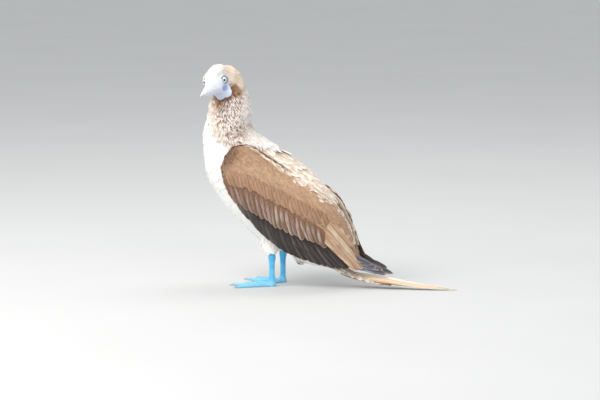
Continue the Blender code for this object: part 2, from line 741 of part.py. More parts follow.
def tail_feather(pair, out, collection):
    """One feather of the tail, which is folded like a low roof.

    Each pair lies under the one before, and its neighbour comes down once it has ended.
    """
    length = (TAIL_TIP_X - TAIL_ROOT_X) * TAIL_LENGTHS[pair]
    inner = -0.0040 if pair == 0 else 0.0003 + 0.0006 * pair
    outer = 0.0085 + 0.0026 * pair
    rows = []
    for share, width in ((0.0, 0.6), (0.25, 1.0), (0.55, 0.95), (0.85, 0.58), (1.0, 0.10)):
        x = TAIL_ROOT_X + length * share
        layer = (FEATHER_THICKNESS + GAP) if pair == 0 and out > 0 else 0.0
        for below in range(pair + 1, TAIL_PAIRS):
            end = TAIL_ROOT_X + (TAIL_TIP_X - TAIL_ROOT_X) * TAIL_LENGTHS[below]
            layer += (FEATHER_THICKNESS + GAP) * np.clip((end + 0.04 - x) / 0.04, 0, 1)
        edges = []
        for across in (0.0, 0.5, 1.0):
            middle = (inner + outer) / 2 * (1 - 0.45 * share ** 2)
            y = middle + (outer - inner) * width * (across - 0.5)
            roof = np.interp(x, TAIL_X, TAIL_SLOPE) * max(0.0, np.interp(x, TAIL_X, TAIL_HALF) - abs(y))
            height = tail_height(x) + layer + roof + FEATHER_THICKNESS
            if share == 0:
                height = tail_height(x) + TAIL_ROOT_RISE + 0.4 * layer
            edges.append(Vector((x, out * y, height)))
        rows.append((*edges, Vector((0, 0, 1))))
    return vane(f"tail_{pair}_{out}", rows, FEATHER_THICKNESS, "tail_feathers", collection)


def leg_rings(side, rows, grow, count):
    """Level sections of a leg, ellipses of count points."""
    rings = []
    for z, ahead, deep, wide, inward in rows:
        ring = []
        for k in range(count):
            angle = 2 * math.pi * k / count
            x = LEG_X[side] + ahead + (deep + grow) * math.cos(angle)
            y = SIDES[side] * (LEG_OUT - inward) + (wide + grow) * math.sin(angle)
            ring.append((x, y, z))
        rings.append(ring)
    return rings


def thigh_form(name, side, grow, collection):
    """The thigh's form, which the torso and the wing make room for."""
    rings = leg_rings(side, smooth_rows(THIGH_STATIONS, 2), grow, 16)
    return loft(name, rings, "white_feathers", collection)


def build_leg(side, birds):
    """The feathered end of the thigh, clear of the wing, and the bare shank under it."""
    thigh = thigh_form(f"thigh_{side}", side, 0.0, birds)
    boolean(thigh, "DIFFERENCE", [wing_form("room", side, 4 * GAP, birds)])
    loft(f"shank_{side}", leg_rings(side, SHANK_STATIONS, 0.0, 12), "blue_skin", birds)


def toe_way(side, angle):
    """Direction of a toe on the floor, and the direction square to it."""
    out = SIDES[side]
    way = Vector((-math.cos(angle), out * math.sin(angle), 0))
    return way, Vector((-way.y, way.x, 0))


def build_toe(side, name, angle, length, half, collection):
    """A toe with a flat sole, swollen at its joints."""
    way, square = toe_way(side, angle)
    root = Vector((LEG_X[side], SIDES[side] * LEG_OUT, 0))
    rings = []
    for row in range(7):
        share = row / 6
        joint = 1 + 0.08 * math.cos(2 * math.pi * 3 * share)
        wide = half * (1 - 0.35 * share) * joint
        tall = (0.0082 - 0.0036 * share) * joint
        at = root + way * (length * share)
        ring = [at - square * wide * 0.7, at + square * wide * 0.7]
        for k in range(5):
            turn = math.pi * k / 4
            height = tall * (0.28 + 0.72 * math.sin(turn))
            ring.append(at + square * wide * math.cos(turn) + Vector((0, 0, height)))
        rings.append(ring)
    return loft(f"toe_{name}", rings, "blue_skin", collection)


def build_foot(side, birds):
    """Four toes joined by one web, the heel that carries the shank, and the claws."""
    root = Vector((LEG_X[side], SIDES[side] * LEG_OUT, 0))
    rim = []
    for k, (_, angle, length, _) in enumerate(TOES):
        way, _ = toe_way(side, angle)
        rim.append(root + way * length * WEB_REACH)
        if k + 1 < len(TOES):
            _, next_angle, next_length, _ = TOES[k + 1]
            middle, _ = toe_way(side, (angle + next_angle) / 2)
            rim.append(root + middle * (length + next_length) / 2 * WEB_HOLLOW)
    outline = [root, *rim]
    rings = [[(p.x, p.y, z) for p in outline] for z in (WEB_LOW, WEB_HIGH)]
    web = loft("web", rings, "blue_skin", birds)
    foot = loft(f"foot_{side}", leg_rings(side, HEEL_STATIONS, 0.0, 12), "blue_skin", birds)
    toes = [build_toe(side, name, angle, length, half, birds) for name, angle, length, half in TOES]
    boolean(foot, "UNION", [web, *toes])
    for name, angle, length, half in TOES:
        build_claw(side, name, angle, length, half, birds)
    return foot


def build_claw(side, name, angle, length, half, birds):
    """A claw that curves down to just above the floor."""
    way, square = toe_way(side, angle)
    root = Vector((LEG_X[side], SIDES[side] * LEG_OUT, 0)) + way * (length + GAP)
    reach = CLAW_LENGTH[name]
    rings = []
    for share, size, drop in ((0.0, 1.0, 0.0), (0.35, 0.85, 0.1), (0.7, 0.55, 0.45), (1.0, 0.12, 1.0)):
        at = root + way * (reach * share) + Vector((0, 0, 0.0030 - 0.0021 * drop))
        ring = []
        for k in range(8):
            turn = 2 * math.pi * k / 8
            across = square * (half * 0.46 * size * math.cos(turn))
            ring.append(at + across + Vector((0, 0, 0.0021 * size * math.sin(turn))))
        rings.append(ring)
    loft(f"claw_{side}_{name}", rings, "claw_horn", birds)


def centre_on_floor(birds):
    """Moves the bird so that the origin lies on the floor, under the middle of its box."""
    corners = np.array([tuple(v.co) for piece in birds.objects for v in piece.data.vertices])
    middle = (corners.min(axis=0) + corners.max(axis=0)) / 2
    shift = Matrix.Translation((-middle[0], -middle[1], -corners[:, 2].min()))
    for piece in birds.objects:
        piece.data.transform(shift)


def main():
    clear_scene()
    birds = new_collection("blue_footed_booby")
    form = fleshed_out(birds)
    build_head(form, birds)
    build_neck(form, birds)
    build_torso(form, birds)
    bpy.data.objects.remove(form)
    build_bill(birds)
    for side in SIDES:
        eye_ball(f"eye_{side}", side, EYE_RADIUS, birds)
        build_wing(side, birds)
        build_leg(side, birds)
        build_foot(side, birds)
    build_tail(birds)
    centre_on_floor(birds)


main()
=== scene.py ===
"""A blue-footed booby at life size, as a still museum model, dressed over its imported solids.

The bird faces -X, its left side is -Y and the floor is Z = 0. Sizes are in metres. Tables are
in the bird's own place, with the point between its heels as their origin, and the meshes are
then moved home.
"""

import json
import math

import bmesh
import bpy
import numpy as np
from mathutils import Matrix, Vector
from mathutils.bvhtree import BVHTree

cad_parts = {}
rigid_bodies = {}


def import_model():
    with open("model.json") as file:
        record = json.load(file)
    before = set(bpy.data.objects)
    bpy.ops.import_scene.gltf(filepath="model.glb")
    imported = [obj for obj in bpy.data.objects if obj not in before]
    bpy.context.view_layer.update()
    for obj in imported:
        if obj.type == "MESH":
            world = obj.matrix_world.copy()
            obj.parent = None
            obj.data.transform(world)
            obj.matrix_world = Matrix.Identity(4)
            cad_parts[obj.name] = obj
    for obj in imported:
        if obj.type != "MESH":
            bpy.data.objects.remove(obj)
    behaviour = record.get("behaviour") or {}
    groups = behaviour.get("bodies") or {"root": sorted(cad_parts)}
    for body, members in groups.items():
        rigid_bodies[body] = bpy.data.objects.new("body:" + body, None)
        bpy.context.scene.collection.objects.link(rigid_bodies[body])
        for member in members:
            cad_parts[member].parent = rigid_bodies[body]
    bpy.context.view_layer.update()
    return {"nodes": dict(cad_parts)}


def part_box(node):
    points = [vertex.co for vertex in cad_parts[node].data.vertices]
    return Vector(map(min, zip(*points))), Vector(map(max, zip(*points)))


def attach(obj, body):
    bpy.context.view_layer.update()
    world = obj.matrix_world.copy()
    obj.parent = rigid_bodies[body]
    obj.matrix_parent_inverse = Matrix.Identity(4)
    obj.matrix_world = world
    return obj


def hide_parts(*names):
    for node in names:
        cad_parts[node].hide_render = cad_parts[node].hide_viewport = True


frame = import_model()

# The bird's place: the solids are centred on their box, and the bird's own origin lies on the
# floor between its heels, which the near shank and the two feet give.
shank_back_from_origin = 0.0003
home = Vector((
    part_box("shank_left")[0].x - shank_back_from_origin,
    (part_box("foot_left")[0].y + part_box("foot_right")[1].y) / 2,
    0.0,
))

# Studio: a long lens far from the bird, a little over its back, a wide pale floor, one large
# soft light high on the left in front of it, a weaker one on the right and a pale sky.
azimuth, elevation = math.radians(14), math.radians(7)
far = 6.0
pixel = 0.00193                    # what one pixel of the picture measures at the bird
picture_width = 600
right_way = Vector((math.cos(azimuth), math.sin(azimuth), 0))
back_way = Vector((math.sin(azimuth) * math.cos(elevation),
                   -math.cos(azimuth) * math.cos(elevation), math.sin(elevation)))
up_way = back_way.cross(right_way)
heels_from_middle = (-28, -84)     # pixels of the picture, right and up from its middle
camera_data = bpy.data.cameras.new("camera")
camera_data.sensor_width = 36
camera_data.lens = camera_data.sensor_width * far / (picture_width * pixel)
camera_data.clip_end = 100
camera = bpy.data.objects.new("camera", camera_data)
camera.location = (home + back_way * far - right_way * heels_from_middle[0] * pixel
                   - up_way * heels_from_middle[1] * pixel)
camera.rotation_euler = back_way.to_track_quat("Z", "Y").to_euler()
bpy.context.scene.collection.objects.link(camera)
bpy.context.scene.camera = camera
bpy.context.scene.view_settings.view_transform = "Standard"


def soft_light(name, way, distance, size, power, colour):
    data = bpy.data.lights.new(name, "AREA")
    data.size, data.energy, data.color = size, power, colour
    light = bpy.data.objects.new(name, data)
    way = Vector(way).normalized()
    light.location = home + Vector((0, 0, 0.2)) + way * distance
    light.rotation_euler = way.to_track_quat("Z", "Y").to_euler()
    bpy.context.scene.collection.objects.link(light)


soft_light("key_light", (-0.55, -0.75, 1.0), 3.2, 2.2, 90, (1.0, 0.985, 0.96))
soft_light("fill_light", (0.9, -0.8, 0.35), 3.4, 2.4, 12, (0.93, 0.96, 1.0))
soft_light("top_light", (0.2, 0.7, 1.4), 3.0, 1.6, 18, (1.0, 1.0, 1.0))
sky = bpy.data.worlds.new("sky")
sky.use_nodes = True
sky.node_tree.nodes["Background"].inputs["Color"].default_value = (0.93, 0.96, 1.0, 1.0)
sky.node_tree.nodes["Background"].inputs["Strength"].default_value = 0.74
bpy.context.scene.world = sky


def tint(red, green, blue):
    """A colour in linear light from its values on a screen."""
    shares = np.array((red, green, blue)) / 255
    return tuple(np.where(shares <= 0.04045, shares / 12.92, ((shares + 0.055) / 1.055) ** 2.4))


class Socket:
    """A socket of a node tree, so that sums on it are written as sums."""

    def __init__(self, tree, socket=None):
        self.tree, self.socket = tree, socket

    def node(self, kind, settings=(), inputs=(), output=0):
        """A new node of the same tree: its settings first, then its inputs' values or links."""
        made = self.tree.nodes.new(kind)
        for name, value in dict(settings).items():
            if name == "stops":
                ramp = made.color_ramp.elements
                while len(ramp) < len(value):
                    ramp.new(0.5)
                for element, (place, colour) in zip(ramp, value):
                    element.position, element.color = place, (*colour, 1.0)
            else:
                setattr(made, name, value)
        for name, value in dict(inputs).items():
            if isinstance(value, Socket):
                self.tree.links.new(value.socket, made.inputs[name])
            else:
                made.inputs[name].default_value = value
        return Socket(self.tree, made.outputs[output])

    def math(self, operation, *values):
        return self.node("ShaderNodeMath", {"operation": operation}, dict(enumerate(values)))

    def __add__(self, other):
        return self.math("ADD", self, other)

    def __sub__(self, other):
        return self.math("SUBTRACT", self, other)

    def __rsub__(self, other):
        return self.math("SUBTRACT", other, self)

    def __mul__(self, other):
        return self.math("MULTIPLY", self, other)

    def __truediv__(self, other):
        return self.math("DIVIDE", self, other)

    def __rtruediv__(self, other):
        return self.math("DIVIDE", other, self)

    def __pow__(self, other):
        return self.math("POWER", self, other)

    def __abs__(self):
        return self.math("ABSOLUTE", self)

    __radd__, __rmul__ = __add__, __mul__

    def ramp(self, low, high):
        """0 below low and 1 above high, smooth between; low may be the higher."""
        inputs = {"Value": self, 1: min(low, high), 2: max(low, high)}
        if low > high:
            inputs.update({3: 1.0, 4: 0.0})
        return self.node("ShaderNodeMapRange", {"interpolation_type": "SMOOTHSTEP"}, inputs)

    def mix(self, one, other):
        """A colour between two, self being the share of the other."""
        pair = [c if isinstance(c, Socket) else (*c, 1.0) for c in (one, other)]
        return self.node("ShaderNodeMix", {"data_type": "RGBA"}, {0: self, 6: pair[0], 7: pair[1]}, 2)

    def noise(self, size, detail=2.0, vector=None, stretch=(1, 1, 1)):
        """Noise over the piece's place, or over a vector, about 1/size units coarse."""
        place = vector or self.node("ShaderNodeTexCoord", output="Object")
        place = self.node("ShaderNodeMapping", {}, {"Vector": place, "Scale": stretch})
        inputs = {"Vector": place, "Scale": size, "Detail": detail}
        return self.node("ShaderNodeTexNoise", {"noise_dimensions": "3D"}, inputs)

    def named(self, name, output="Fac"):
        return self.node("ShaderNodeAttribute", {"attribute_name": name}, {}, output)

    def scaled(self, amount):
        """A colour made lighter or darker by a socket."""
        return self.node("ShaderNodeVectorMath", {"operation": "SCALE"}, {0: self, "Scale": amount})


class Finish:
    """A material: what varies is linked to its shader, and what is the same all over is set."""

    def __init__(self, name, **same):
        self.material = bpy.data.materials.new(name)
        self.material.use_nodes = True
        self.tree = self.material.node_tree
        self.shader = self.tree.nodes["Principled BSDF"]
        self.start = Socket(self.tree)
        for key, value in same.items():
            self.shader.inputs[key.replace("_", " ")].default_value = value

    def feed(self, name, socket):
        self.tree.links.new(socket.socket, self.shader.inputs[name])

    def bump(self, height, strength, distance):
        inputs = {"Height": height, "Strength": strength, "Distance": distance}
        self.feed("Normal", self.start.node("ShaderNodeBump", {}, inputs))


floor_size = 60.0
floor_mesh = bpy.data.meshes.new("floor")
edge = floor_size / 2
floor_mesh.from_pydata([(-edge, -edge, 0), (edge, -edge, 0), (edge, edge, 0), (-edge, edge, 0)],
                       [], [(0, 1, 2, 3)])
floor = bpy.data.objects.new("floor", floor_mesh)
bpy.context.scene.collection.objects.link(floor)
floor_finish = Finish("floor_paper", Roughness=0.9)
floor_finish.feed("Base Color", floor_finish.start.noise(3.0).mix(tint(206, 206, 204), tint(212, 212, 210)))
floor_mesh.materials.append(floor_finish.material)

# Skin: one closed surface under the plumage, made from the solids of the head, the neck, the
# torso and the feathered thighs, and let in by the depth of the coat that grows on it. It is
# bare only on the face and the throat, where it is blue-grey.
skin_cell = 0.0017
# Rows of the folded wing: upper edge and lower edge (X, Z each), how far the upper edge, the middle and the lower
# edge stand out, and how thick the wing is.
wing_rows = [
    (-0.078, 0.250, -0.085, 0.233, 0.0600, 0.0615, 0.0595, 0.006),
    (-0.066, 0.266, -0.082, 0.214, 0.0600, 0.0650, 0.0595, 0.012),
    (-0.042, 0.272, -0.073, 0.187, 0.0580, 0.0685, 0.0585, 0.018),
    (-0.006, 0.253, -0.053, 0.157, 0.0530, 0.0720, 0.0550, 0.020),
    (0.032, 0.227, -0.026, 0.123, 0.0500, 0.0735, 0.0500, 0.020),
    (0.070, 0.204, 0.008, 0.091, 0.0460, 0.0730, 0.0470, 0.019),
    (0.104, 0.184, 0.047, 0.067, 0.0390, 0.0690, 0.0440, 0.017),
    (0.130, 0.162, 0.088, 0.052, 0.0300, 0.0600, 0.0395, 0.014),
    (0.147, 0.132, 0.120, 0.042, 0.0225, 0.0480, 0.0360, 0.011),
    (0.159, 0.102, 0.144, 0.036, 0.0165, 0.0365, 0.0315, 0.008),
    (0.170, 0.075, 0.165, 0.0325, 0.0115, 0.0260, 0.0265, 0.006),
    (0.185, 0.051, 0.188, 0.0300, 0.0080, 0.0165, 0.0195, 0.004),
    (0.206, 0.036, 0.210, 0.0275, 0.0060, 0.0110, 0.0135, 0.003),
    (0.227, 0.0295, 0.228, 0.0265, 0.0050, 0.0080, 0.0095, 0.002),
]
skin_swell = 0.0004                # closes the fine gaps between the solids
spine = np.array([
    (0.143, 0.0, 0.040), (0.126, 0.0, 0.054), (0.109, 0.0, 0.0755), (0.080, 0.0, 0.101),
    (0.049, 0.0, 0.132), (0.019, 0.0, 0.160), (-0.0145, 0.0, 0.1915), (-0.045, 0.0, 0.2215),
    (-0.0695, 0.0, 0.2465), (-0.0835, 0.0, 0.270), (-0.090, 0.0, 0.297),
    (-0.0875, 0.001, 0.318), (-0.084, 0.006, 0.336), (-0.0825, 0.012, 0.3525),
    (-0.0825, 0.016, 0.369), (-0.084, 0.017, 0.392),
])
head_place = (Matrix.Translation((-0.1064, -0.022, 0.392)) @ Matrix.Rotation(math.radians(271), 4, "Z")
              @ Matrix.Rotation(math.radians(1), 4, "Y") @ Matrix.Rotation(math.radians(8), 4, "X"))
eye_out = Vector((-0.0002, 0.0150, 0.0005))
eye_radius = 0.0080
white, cream = tint(243, 241, 237), tint(232, 218, 198)
neck_tip, neck_root = tint(253, 244, 235), tint(128, 86, 62)
nape_tan = tint(248, 230, 212)
mantle_tan, mantle_root = tint(214, 192, 170), tint(160, 130, 104)


def smooth(low, high, x):
    share = np.clip((x - low) / (high - low), 0, 1)
    return share * share * (3 - 2 * share)


def in_head(points):
    """Points of the bird's place in the head's own frame: X to the bill, Y to its left, Z up."""
    inverse = np.array(head_place.inverted())
    return points @ inverse[:3, :3].T + inverse[:3, 3]


def distance(points, centre, stretch=(1, 1, 1)):
    return np.linalg.norm((points - np.array(centre)) / np.array(stretch), axis=1)


def bareness(points):
    """1 where the face and the throat are bare: round the eyes, at the bill's root and chin."""
    local = in_head(points)
    local[:, 1] = np.abs(local[:, 1])
    ring = distance(local, eye_out) - 0.0112
    lore = distance(local, (0.016, 0.012, -0.010), (1.0, 0.8, 0.85)) - 0.0175
    chin = distance(local, (0.0085, 0.0, -0.027), (1.0, 1.05, 0.62)) - 0.0180
    cheek = distance(local, (0.004, 0.018, -0.019)) - 0.0140
    brow = 0.012 * smooth(0.004, 0.012, local[:, 2] - 0.3 * local[:, 1])
    return smooth(0.0012, -0.0012, np.minimum(np.minimum(ring, lore + brow), np.minimum(chin, cheek)))


def under_wing(points):
    """How far inside the folded wing's outline points of a flank lie, and 0 outside it."""
    rows = np.array(wing_rows)
    corners = np.vstack([rows[:, :2], rows[::-1, 2:4]])
    ends = np.roll(corners, -1, axis=0)
    spots = points[:, (0, 2)][:, None, :]
    along = ends - corners
    share = np.sum((spots - corners) * along, axis=2) / np.sum(along * along, axis=1)
    nearest = corners + np.clip(share, 0, 1)[:, :, None] * along
    gap = np.linalg.norm(spots - nearest, axis=2).min(axis=1)
    crosses = (corners[:, 1] > spots[:, :, 1]) != (ends[:, 1] > spots[:, :, 1])
    slope = (spots[:, :, 1] - corners[:, 1]) * along[:, 0] / np.where(along[:, 1] == 0, 1, along[:, 1])
    inside = np.sum(crosses & (spots[:, :, 0] < corners[:, 0] + slope), axis=1) % 2 == 1
    return gap * inside * (np.abs(points[:, 1]) > 0.025)


def coat_way(points):
    """How the plumage lies: back over the head from the bill, then down the neck and body."""
    steps = spine[:-1] - spine[1:]
    steps /= np.linalg.norm(steps, axis=1)[:, None]
    middles = (spine[:-1] + spine[1:]) / 2
    gaps = np.linalg.norm(points[:, None, :] - middles[None], axis=2)
    nearness = np.exp(-((gaps - gaps.min(axis=1, keepdims=True)) / 0.02))
    way = nearness @ steps
    way /= np.linalg.norm(way, axis=1)[:, None]
    from_bill = points - np.array(head_place @ Vector((0.036, 0, -0.004)))
    reach = np.linalg.norm(from_bill, axis=1)
    from_bill /= reach[:, None]
    from_bill[:, 2] -= 1.3 * smooth(0.036, 0.072, reach)
    from_bill /= np.linalg.norm(from_bill, axis=1)[:, None]
    on_neck = smooth(0.27, 0.30, points[:, 2]) * smooth(0.395, 0.375, points[:, 2])
    way[:, 0] += 0.75 * on_neck * smooth(-0.100, -0.062, points[:, 0])
    on_head = smooth(0.352, 0.378, points[:, 2])[:, None]
    way = way * (1 - on_head) + from_bill * on_head
    on_thigh = (smooth(0.088, 0.070, points[:, 2]) * smooth(0.040, 0.029, np.abs(points[:, 0] - 0.003)))[:, None]
    way = way * (1 - on_thigh) + np.array((0.1, 0, -1.0)) * on_thigh
    return way / np.linalg.norm(way, axis=1)[:, None]


def regions(points):
    """Shares of the plumage's kinds at points: head, neck, back, and white elsewhere."""
    x, z = points[:, 0], points[:, 2]
    ripple = 0.004 * np.sin(z * 300 + 5 * np.sin(x * 170)) * np.sin(points[:, 1] * 260)
    front = np.interp(z, (0.245, 0.262, 0.280, 0.310, 0.338, 0.352, 0.40),
                      (-0.070, -0.082, -0.078, -0.096, -0.112, -0.112, -0.100))
    behind = x - front + ripple
    local = in_head(points)
    collar = -0.040 + 0.45 * np.hypot(local[:, 1], np.minimum(local[:, 0] + 0.005, 0))
    head = smooth(-0.003, 0.003, local[:, 2] - collar + ripple) * smooth(0.325, 0.335, z)
    neck = smooth(0.268, 0.276, z + 0.15 * x + ripple) * (1 - head)
    back_line = np.interp(x, (-0.085, -0.060, -0.038, 0.0, 0.032, 0.104, 0.147, 0.2),
                          (0.262, 0.252, 0.235, 0.205, 0.19, 0.14, 0.10, 0.05))
    back = smooth(0.0, 0.006, z - back_line + ripple) * (1 - neck) * (1 - head)
    back *= smooth(-0.003, 0.004, behind)
    return head, neck, back, behind


def markings(points):
    """Colours of the feathers' points and of their roots, and how far a pale fringe shows."""
    head, neck, back, behind = regions(points)
    local = in_head(points)
    x, y, z = points.T
    plume = np.tile(np.array(white), (len(points), 1))
    under = np.tile(np.array(tint(238, 235, 230)), (len(points), 1))

    def lay(colour, root, share):
        plume[:] += (np.array(colour) - plume) * share[:, None]
        under[:] += (np.array(root) - under) * share[:, None]

    streaked = smooth(-0.006, 0.012, behind)
    lay(cream, tint(176, 140, 108), neck * smooth(-0.022, 0.0, behind) * 0.7)
    lay(neck_tip, neck_root, neck * streaked)
    beside = np.column_stack([local[:, 0], np.abs(local[:, 1]), local[:, 2]])
    from_eye = distance(beside, eye_out)
    behind_eye = smooth(0.013, 0.026, from_eye) * smooth(0.012, 0.028, beside[:, 1])
    nape = smooth(-0.012, -0.036, local[:, 0] + 0.3 * local[:, 2])
    lay(cream, tint(214, 194, 168), head * smooth(0.010, -0.014, local[:, 0]) * 0.7)
    lay(nape_tan, tint(212, 180, 148), head * np.maximum(behind_eye * 0.95, nape * 0.8))
    lay(neck_tip, neck_root, head * smooth(-0.016, -0.030, local[:, 2]) * 0.95)
    lay(mantle_tan, mantle_root, back * smooth(-0.004, 0.02, behind))
    saddle = distance(points, (-0.022, 0.0, 0.286), (1.5, 1.3, 0.75))
    lay(white, tint(236, 230, 224), (back + neck) * smooth(0.036, 0.020, saddle) * 0.95)
    rump = smooth(0.105, 0.13, x) * smooth(0.06, 0.075, z)
    lay(white, tint(200, 190, 180), back * rump * 0.7)
    nape_x = np.interp(z, (0.295, 0.344, 0.366, 0.395), (-0.050, -0.058, -0.060, -0.060))
    lay(white, tint(220, 204, 190), np.maximum(neck, head) * smooth(-0.004, 0.010, x - nape_x) * 0.75)
    cheek = distance(beside, (-0.0090, 0.0320, -0.0180), (1.0, 1.0, 1.15))
    lay(tint(172, 128, 92), tint(104, 70, 46), 0.95 * smooth(0.0150, 0.0050, cheek))
    smudge = distance(points, (-0.0965, -0.022, 0.3525), (1.35, 1.2, 0.7))
    lay(tint(212, 172, 138), tint(150, 104, 72), 0.85 * smooth(0.0115, 0.004, smudge))
    return plume, under, back * (1 - rump)


def piece(name, points, faces, finish, replaced=()):
    """A shown piece of points in the bird's place, moved home, that rides on the body."""
    mesh = bpy.data.meshes.new(name)
    mesh.from_pydata(np.asarray(points, float) + np.array(home), [], faces)
    made = bpy.data.objects.new(name, mesh)
    bpy.context.scene.collection.objects.link(made)
    return shown(made, finish, replaced)


def shown(made, finish, replaced=()):
    """Gives a finished mesh its material, its body and the solids it stands for."""
    made.data.materials.clear()
    made.data.materials.append(finish.material)
    made.data.polygons.foreach_set("use_smooth", np.ones(len(made.data.polygons), dtype=bool))
    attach(made, "root")
    if replaced:
        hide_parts(*replaced)
    return made


def evaluated(thing):
    """The thing's mesh with its modifiers made part of it."""
    graph = bpy.context.evaluated_depsgraph_get()
    mesh = bpy.data.meshes.new_from_object(thing.evaluated_get(graph))
    thing.modifiers.clear()
    thing.data = mesh
    return thing


def coordinates(mesh, kind="co"):
    found = np.empty(len(mesh.vertices) * 3)
    mesh.vertices.foreach_get(kind, found)
    return found.reshape(-1, 3)


def set_attribute(mesh, name, values, kind="FLOAT_VECTOR"):
    field = {"FLOAT_VECTOR": "vector", "FLOAT": "value"}[kind]
    made = mesh.attributes.new(name, kind, "POINT")
    made.data.foreach_set(field, np.ascontiguousarray(values, dtype=np.float32).ravel())


def unwrap(thing, angle=66, margin=0.002):
    """Unfolds the thing's own shape into a UV map named OFBake."""
    thing.data.uv_layers.new(name="OFBake")
    bpy.ops.object.select_all(action="DESELECT")
    thing.select_set(True)
    bpy.context.view_layer.objects.active = thing
    bpy.ops.object.mode_set(mode="EDIT")
    bpy.ops.mesh.select_all(action="SELECT")
    bpy.ops.uv.smart_project(angle_limit=math.radians(angle), island_margin=margin)
    bpy.ops.object.mode_set(mode="OBJECT")


flesh_nodes = ["head", "neck", "torso", "thigh_left", "thigh_right"]
merged = bmesh.new()
for node in flesh_nodes:
    form = bmesh.new()
    form.from_mesh(frame["nodes"][node].data)
    bmesh.ops.remove_doubles(form, verts=form.verts, dist=1e-6)
    form.normal_update()
    for vertex in form.verts:
        vertex.co += vertex.normal * skin_swell
    part = bpy.data.meshes.new(node + "_copy")
    form.to_mesh(part)
    form.free()
    merged.from_mesh(part)
skin_mesh = bpy.data.meshes.new("skin")
merged.to_mesh(skin_mesh)
merged.free()
skin = bpy.data.objects.new("skin", skin_mesh)
bpy.context.scene.collection.objects.link(skin)
remesh = skin.modifiers.new("even", "REMESH")
remesh.mode, remesh.voxel_size = "VOXEL", skin_cell
relax = skin.modifiers.new("relax", "SMOOTH")
relax.factor, relax.iterations = 0.5, 4
evaluated(skin)
places = coordinates(skin.data) - np.array(home)
normals = coordinates(skin.data, "normal")
bare = bareness(places)
head_share, neck_share, back_share, _ = regions(places)
nape_share = head_share * smooth(0.0, -0.020, in_head(places)[:, 0])
depth = 0.0026 + 0.0006 * back_share - 0.0002 * neck_share - 0.0014 * head_share + 0.0008 * nape_share
behind_let = np.interp(places[:, 2], (0.19, 0.22, 0.295, 0.312, 0.344, 0.366, 0.388, 0.404, 0.416, 0.424),
                       (0.0, 0.0010, 0.0042, 0.0036, 0.0062, 0.0090, 0.0082, 0.0050, 0.0010, 0.0))
depth += behind_let * smooth(0.2, 0.85, normals @ (0.85, 0.0, 0.5))
ahead_let = np.interp(places[:, 2], (0.20, 0.24, 0.28, 0.335, 0.350), (0.0, 0.0030, 0.0028, 0.0028, 0.0))
depth -= 0.0030 * smooth(0.024, 0.008, distance(places, (-0.119, -0.026, 0.359)))
depth += ahead_let * smooth(0.2, 0.8, normals @ (-1.0, -0.25, 0.1))
depth += 0.0028 * back_share
depth -= 0.0042 * smooth(0.030, 0.008, distance(places, (-0.084, 0.001, 0.424))) * head_share
depth += 0.0046 * smooth(0.024, 0.006, distance(places, (-0.125, -0.020, 0.414))) * head_share
beside = np.abs(in_head(places) * (0, 1, 0)) + in_head(places) * (1, 0, 1)
depth -= 0.0022 * smooth(0.020, 0.006, distance(beside, (-0.015, 0.024, -0.002)))
covered = under_wing(places)
depth += 0.0045 * smooth(0.0, 0.010, covered)
depth = depth * (1 - bare) + 0.0010 * bare
thigh_share = smooth(0.050, 0.034, places[:, 0]) * smooth(0.085, 0.070, places[:, 2])
depth += 0.0012 * thigh_share
pairs = np.array([edge.vertices[:] for edge in skin.data.edges])
for _ in range(14):
    around = np.zeros_like(depth)
    np.add.at(around, pairs[:, 0], depth[pairs[:, 1]])
    np.add.at(around, pairs[:, 1], depth[pairs[:, 0]])
    depth = 0.4 * depth + 0.6 * around / np.bincount(pairs.ravel(), minlength=len(depth))
settled = places - normals * depth[:, None]
settled[:, 2] += 0.0085 * thigh_share * smooth(0.078, 0.056, places[:, 2])
skin.data.vertices.foreach_set("co", (settled + np.array(home)).ravel())
skin.data.update()
steady = np.sum(coordinates(skin.data, "normal") * normals, axis=1) > 0.8
normals = coordinates(skin.data, "normal")
plume, under, fringe = markings(places)
flow = coat_way(places)
flow -= normals * np.sum(flow * normals, axis=1)[:, None]
set_attribute(skin.data, "plume", plume)
set_attribute(skin.data, "under", under)
set_attribute(skin.data, "fringe", fringe, "FLOAT")
set_attribute(skin.data, "bare", bare, "FLOAT")
ring_share = smooth(0.0135, 0.0100, distance(beside, eye_out))
gape_share = smooth(0.0105, 0.0050, distance(beside, (0.004, 0.0205, -0.0155)))
chin_share = smooth(-0.021, -0.027, beside[:, 2]) * 0.22
set_attribute(skin.data, "blue", np.maximum(np.maximum(ring_share * 0.9, gape_share), chin_share), "FLOAT")
set_attribute(skin.data, "flow", flow)
unwrap(skin)

skin_finish = Finish("skin_under_plumage", Roughness=0.62, Specular_IOR_Level=0.35)
start = skin_finish.start
blotch = start.noise(260.0, 4.0)
fine = start.noise(1500.0, 3.0)
blue_grey = start.named("blue").mix(tint(232, 236, 246), tint(158, 182, 226))
blue_grey = blue_grey.scaled(0.90 + 0.2 * blotch)
down = start.named("under", "Vector").scaled(0.80 + 0.25 * blotch)
skin_finish.feed("Base Color", start.named("bare").ramp(0.35, 0.65).mix(down, blue_grey))
skin_finish.feed("Roughness", 0.5 + 0.3 * fine)
skin_finish.bump(blotch * 0.6 + fine * 0.4, 0.35, 0.0004)
shown(skin, skin_finish, flesh_nodes)

# Small feathers: each is a thin closed vane, domed across and curved along, with its root in
# the skin. They lie over one another down the lie of the coat, in five coats of their own size
# and shape: head, neck, breast, belly and back.
patch = 0.003                      # size of one feather's patch in the baked map


def crisp_edges(form, least=math.radians(55)):
    """Keeps the shading of the two faces of a thin form apart along its rim."""
    for edge in form.edges:
        edge.smooth = not (edge.is_manifold and edge.calc_face_angle() > least)


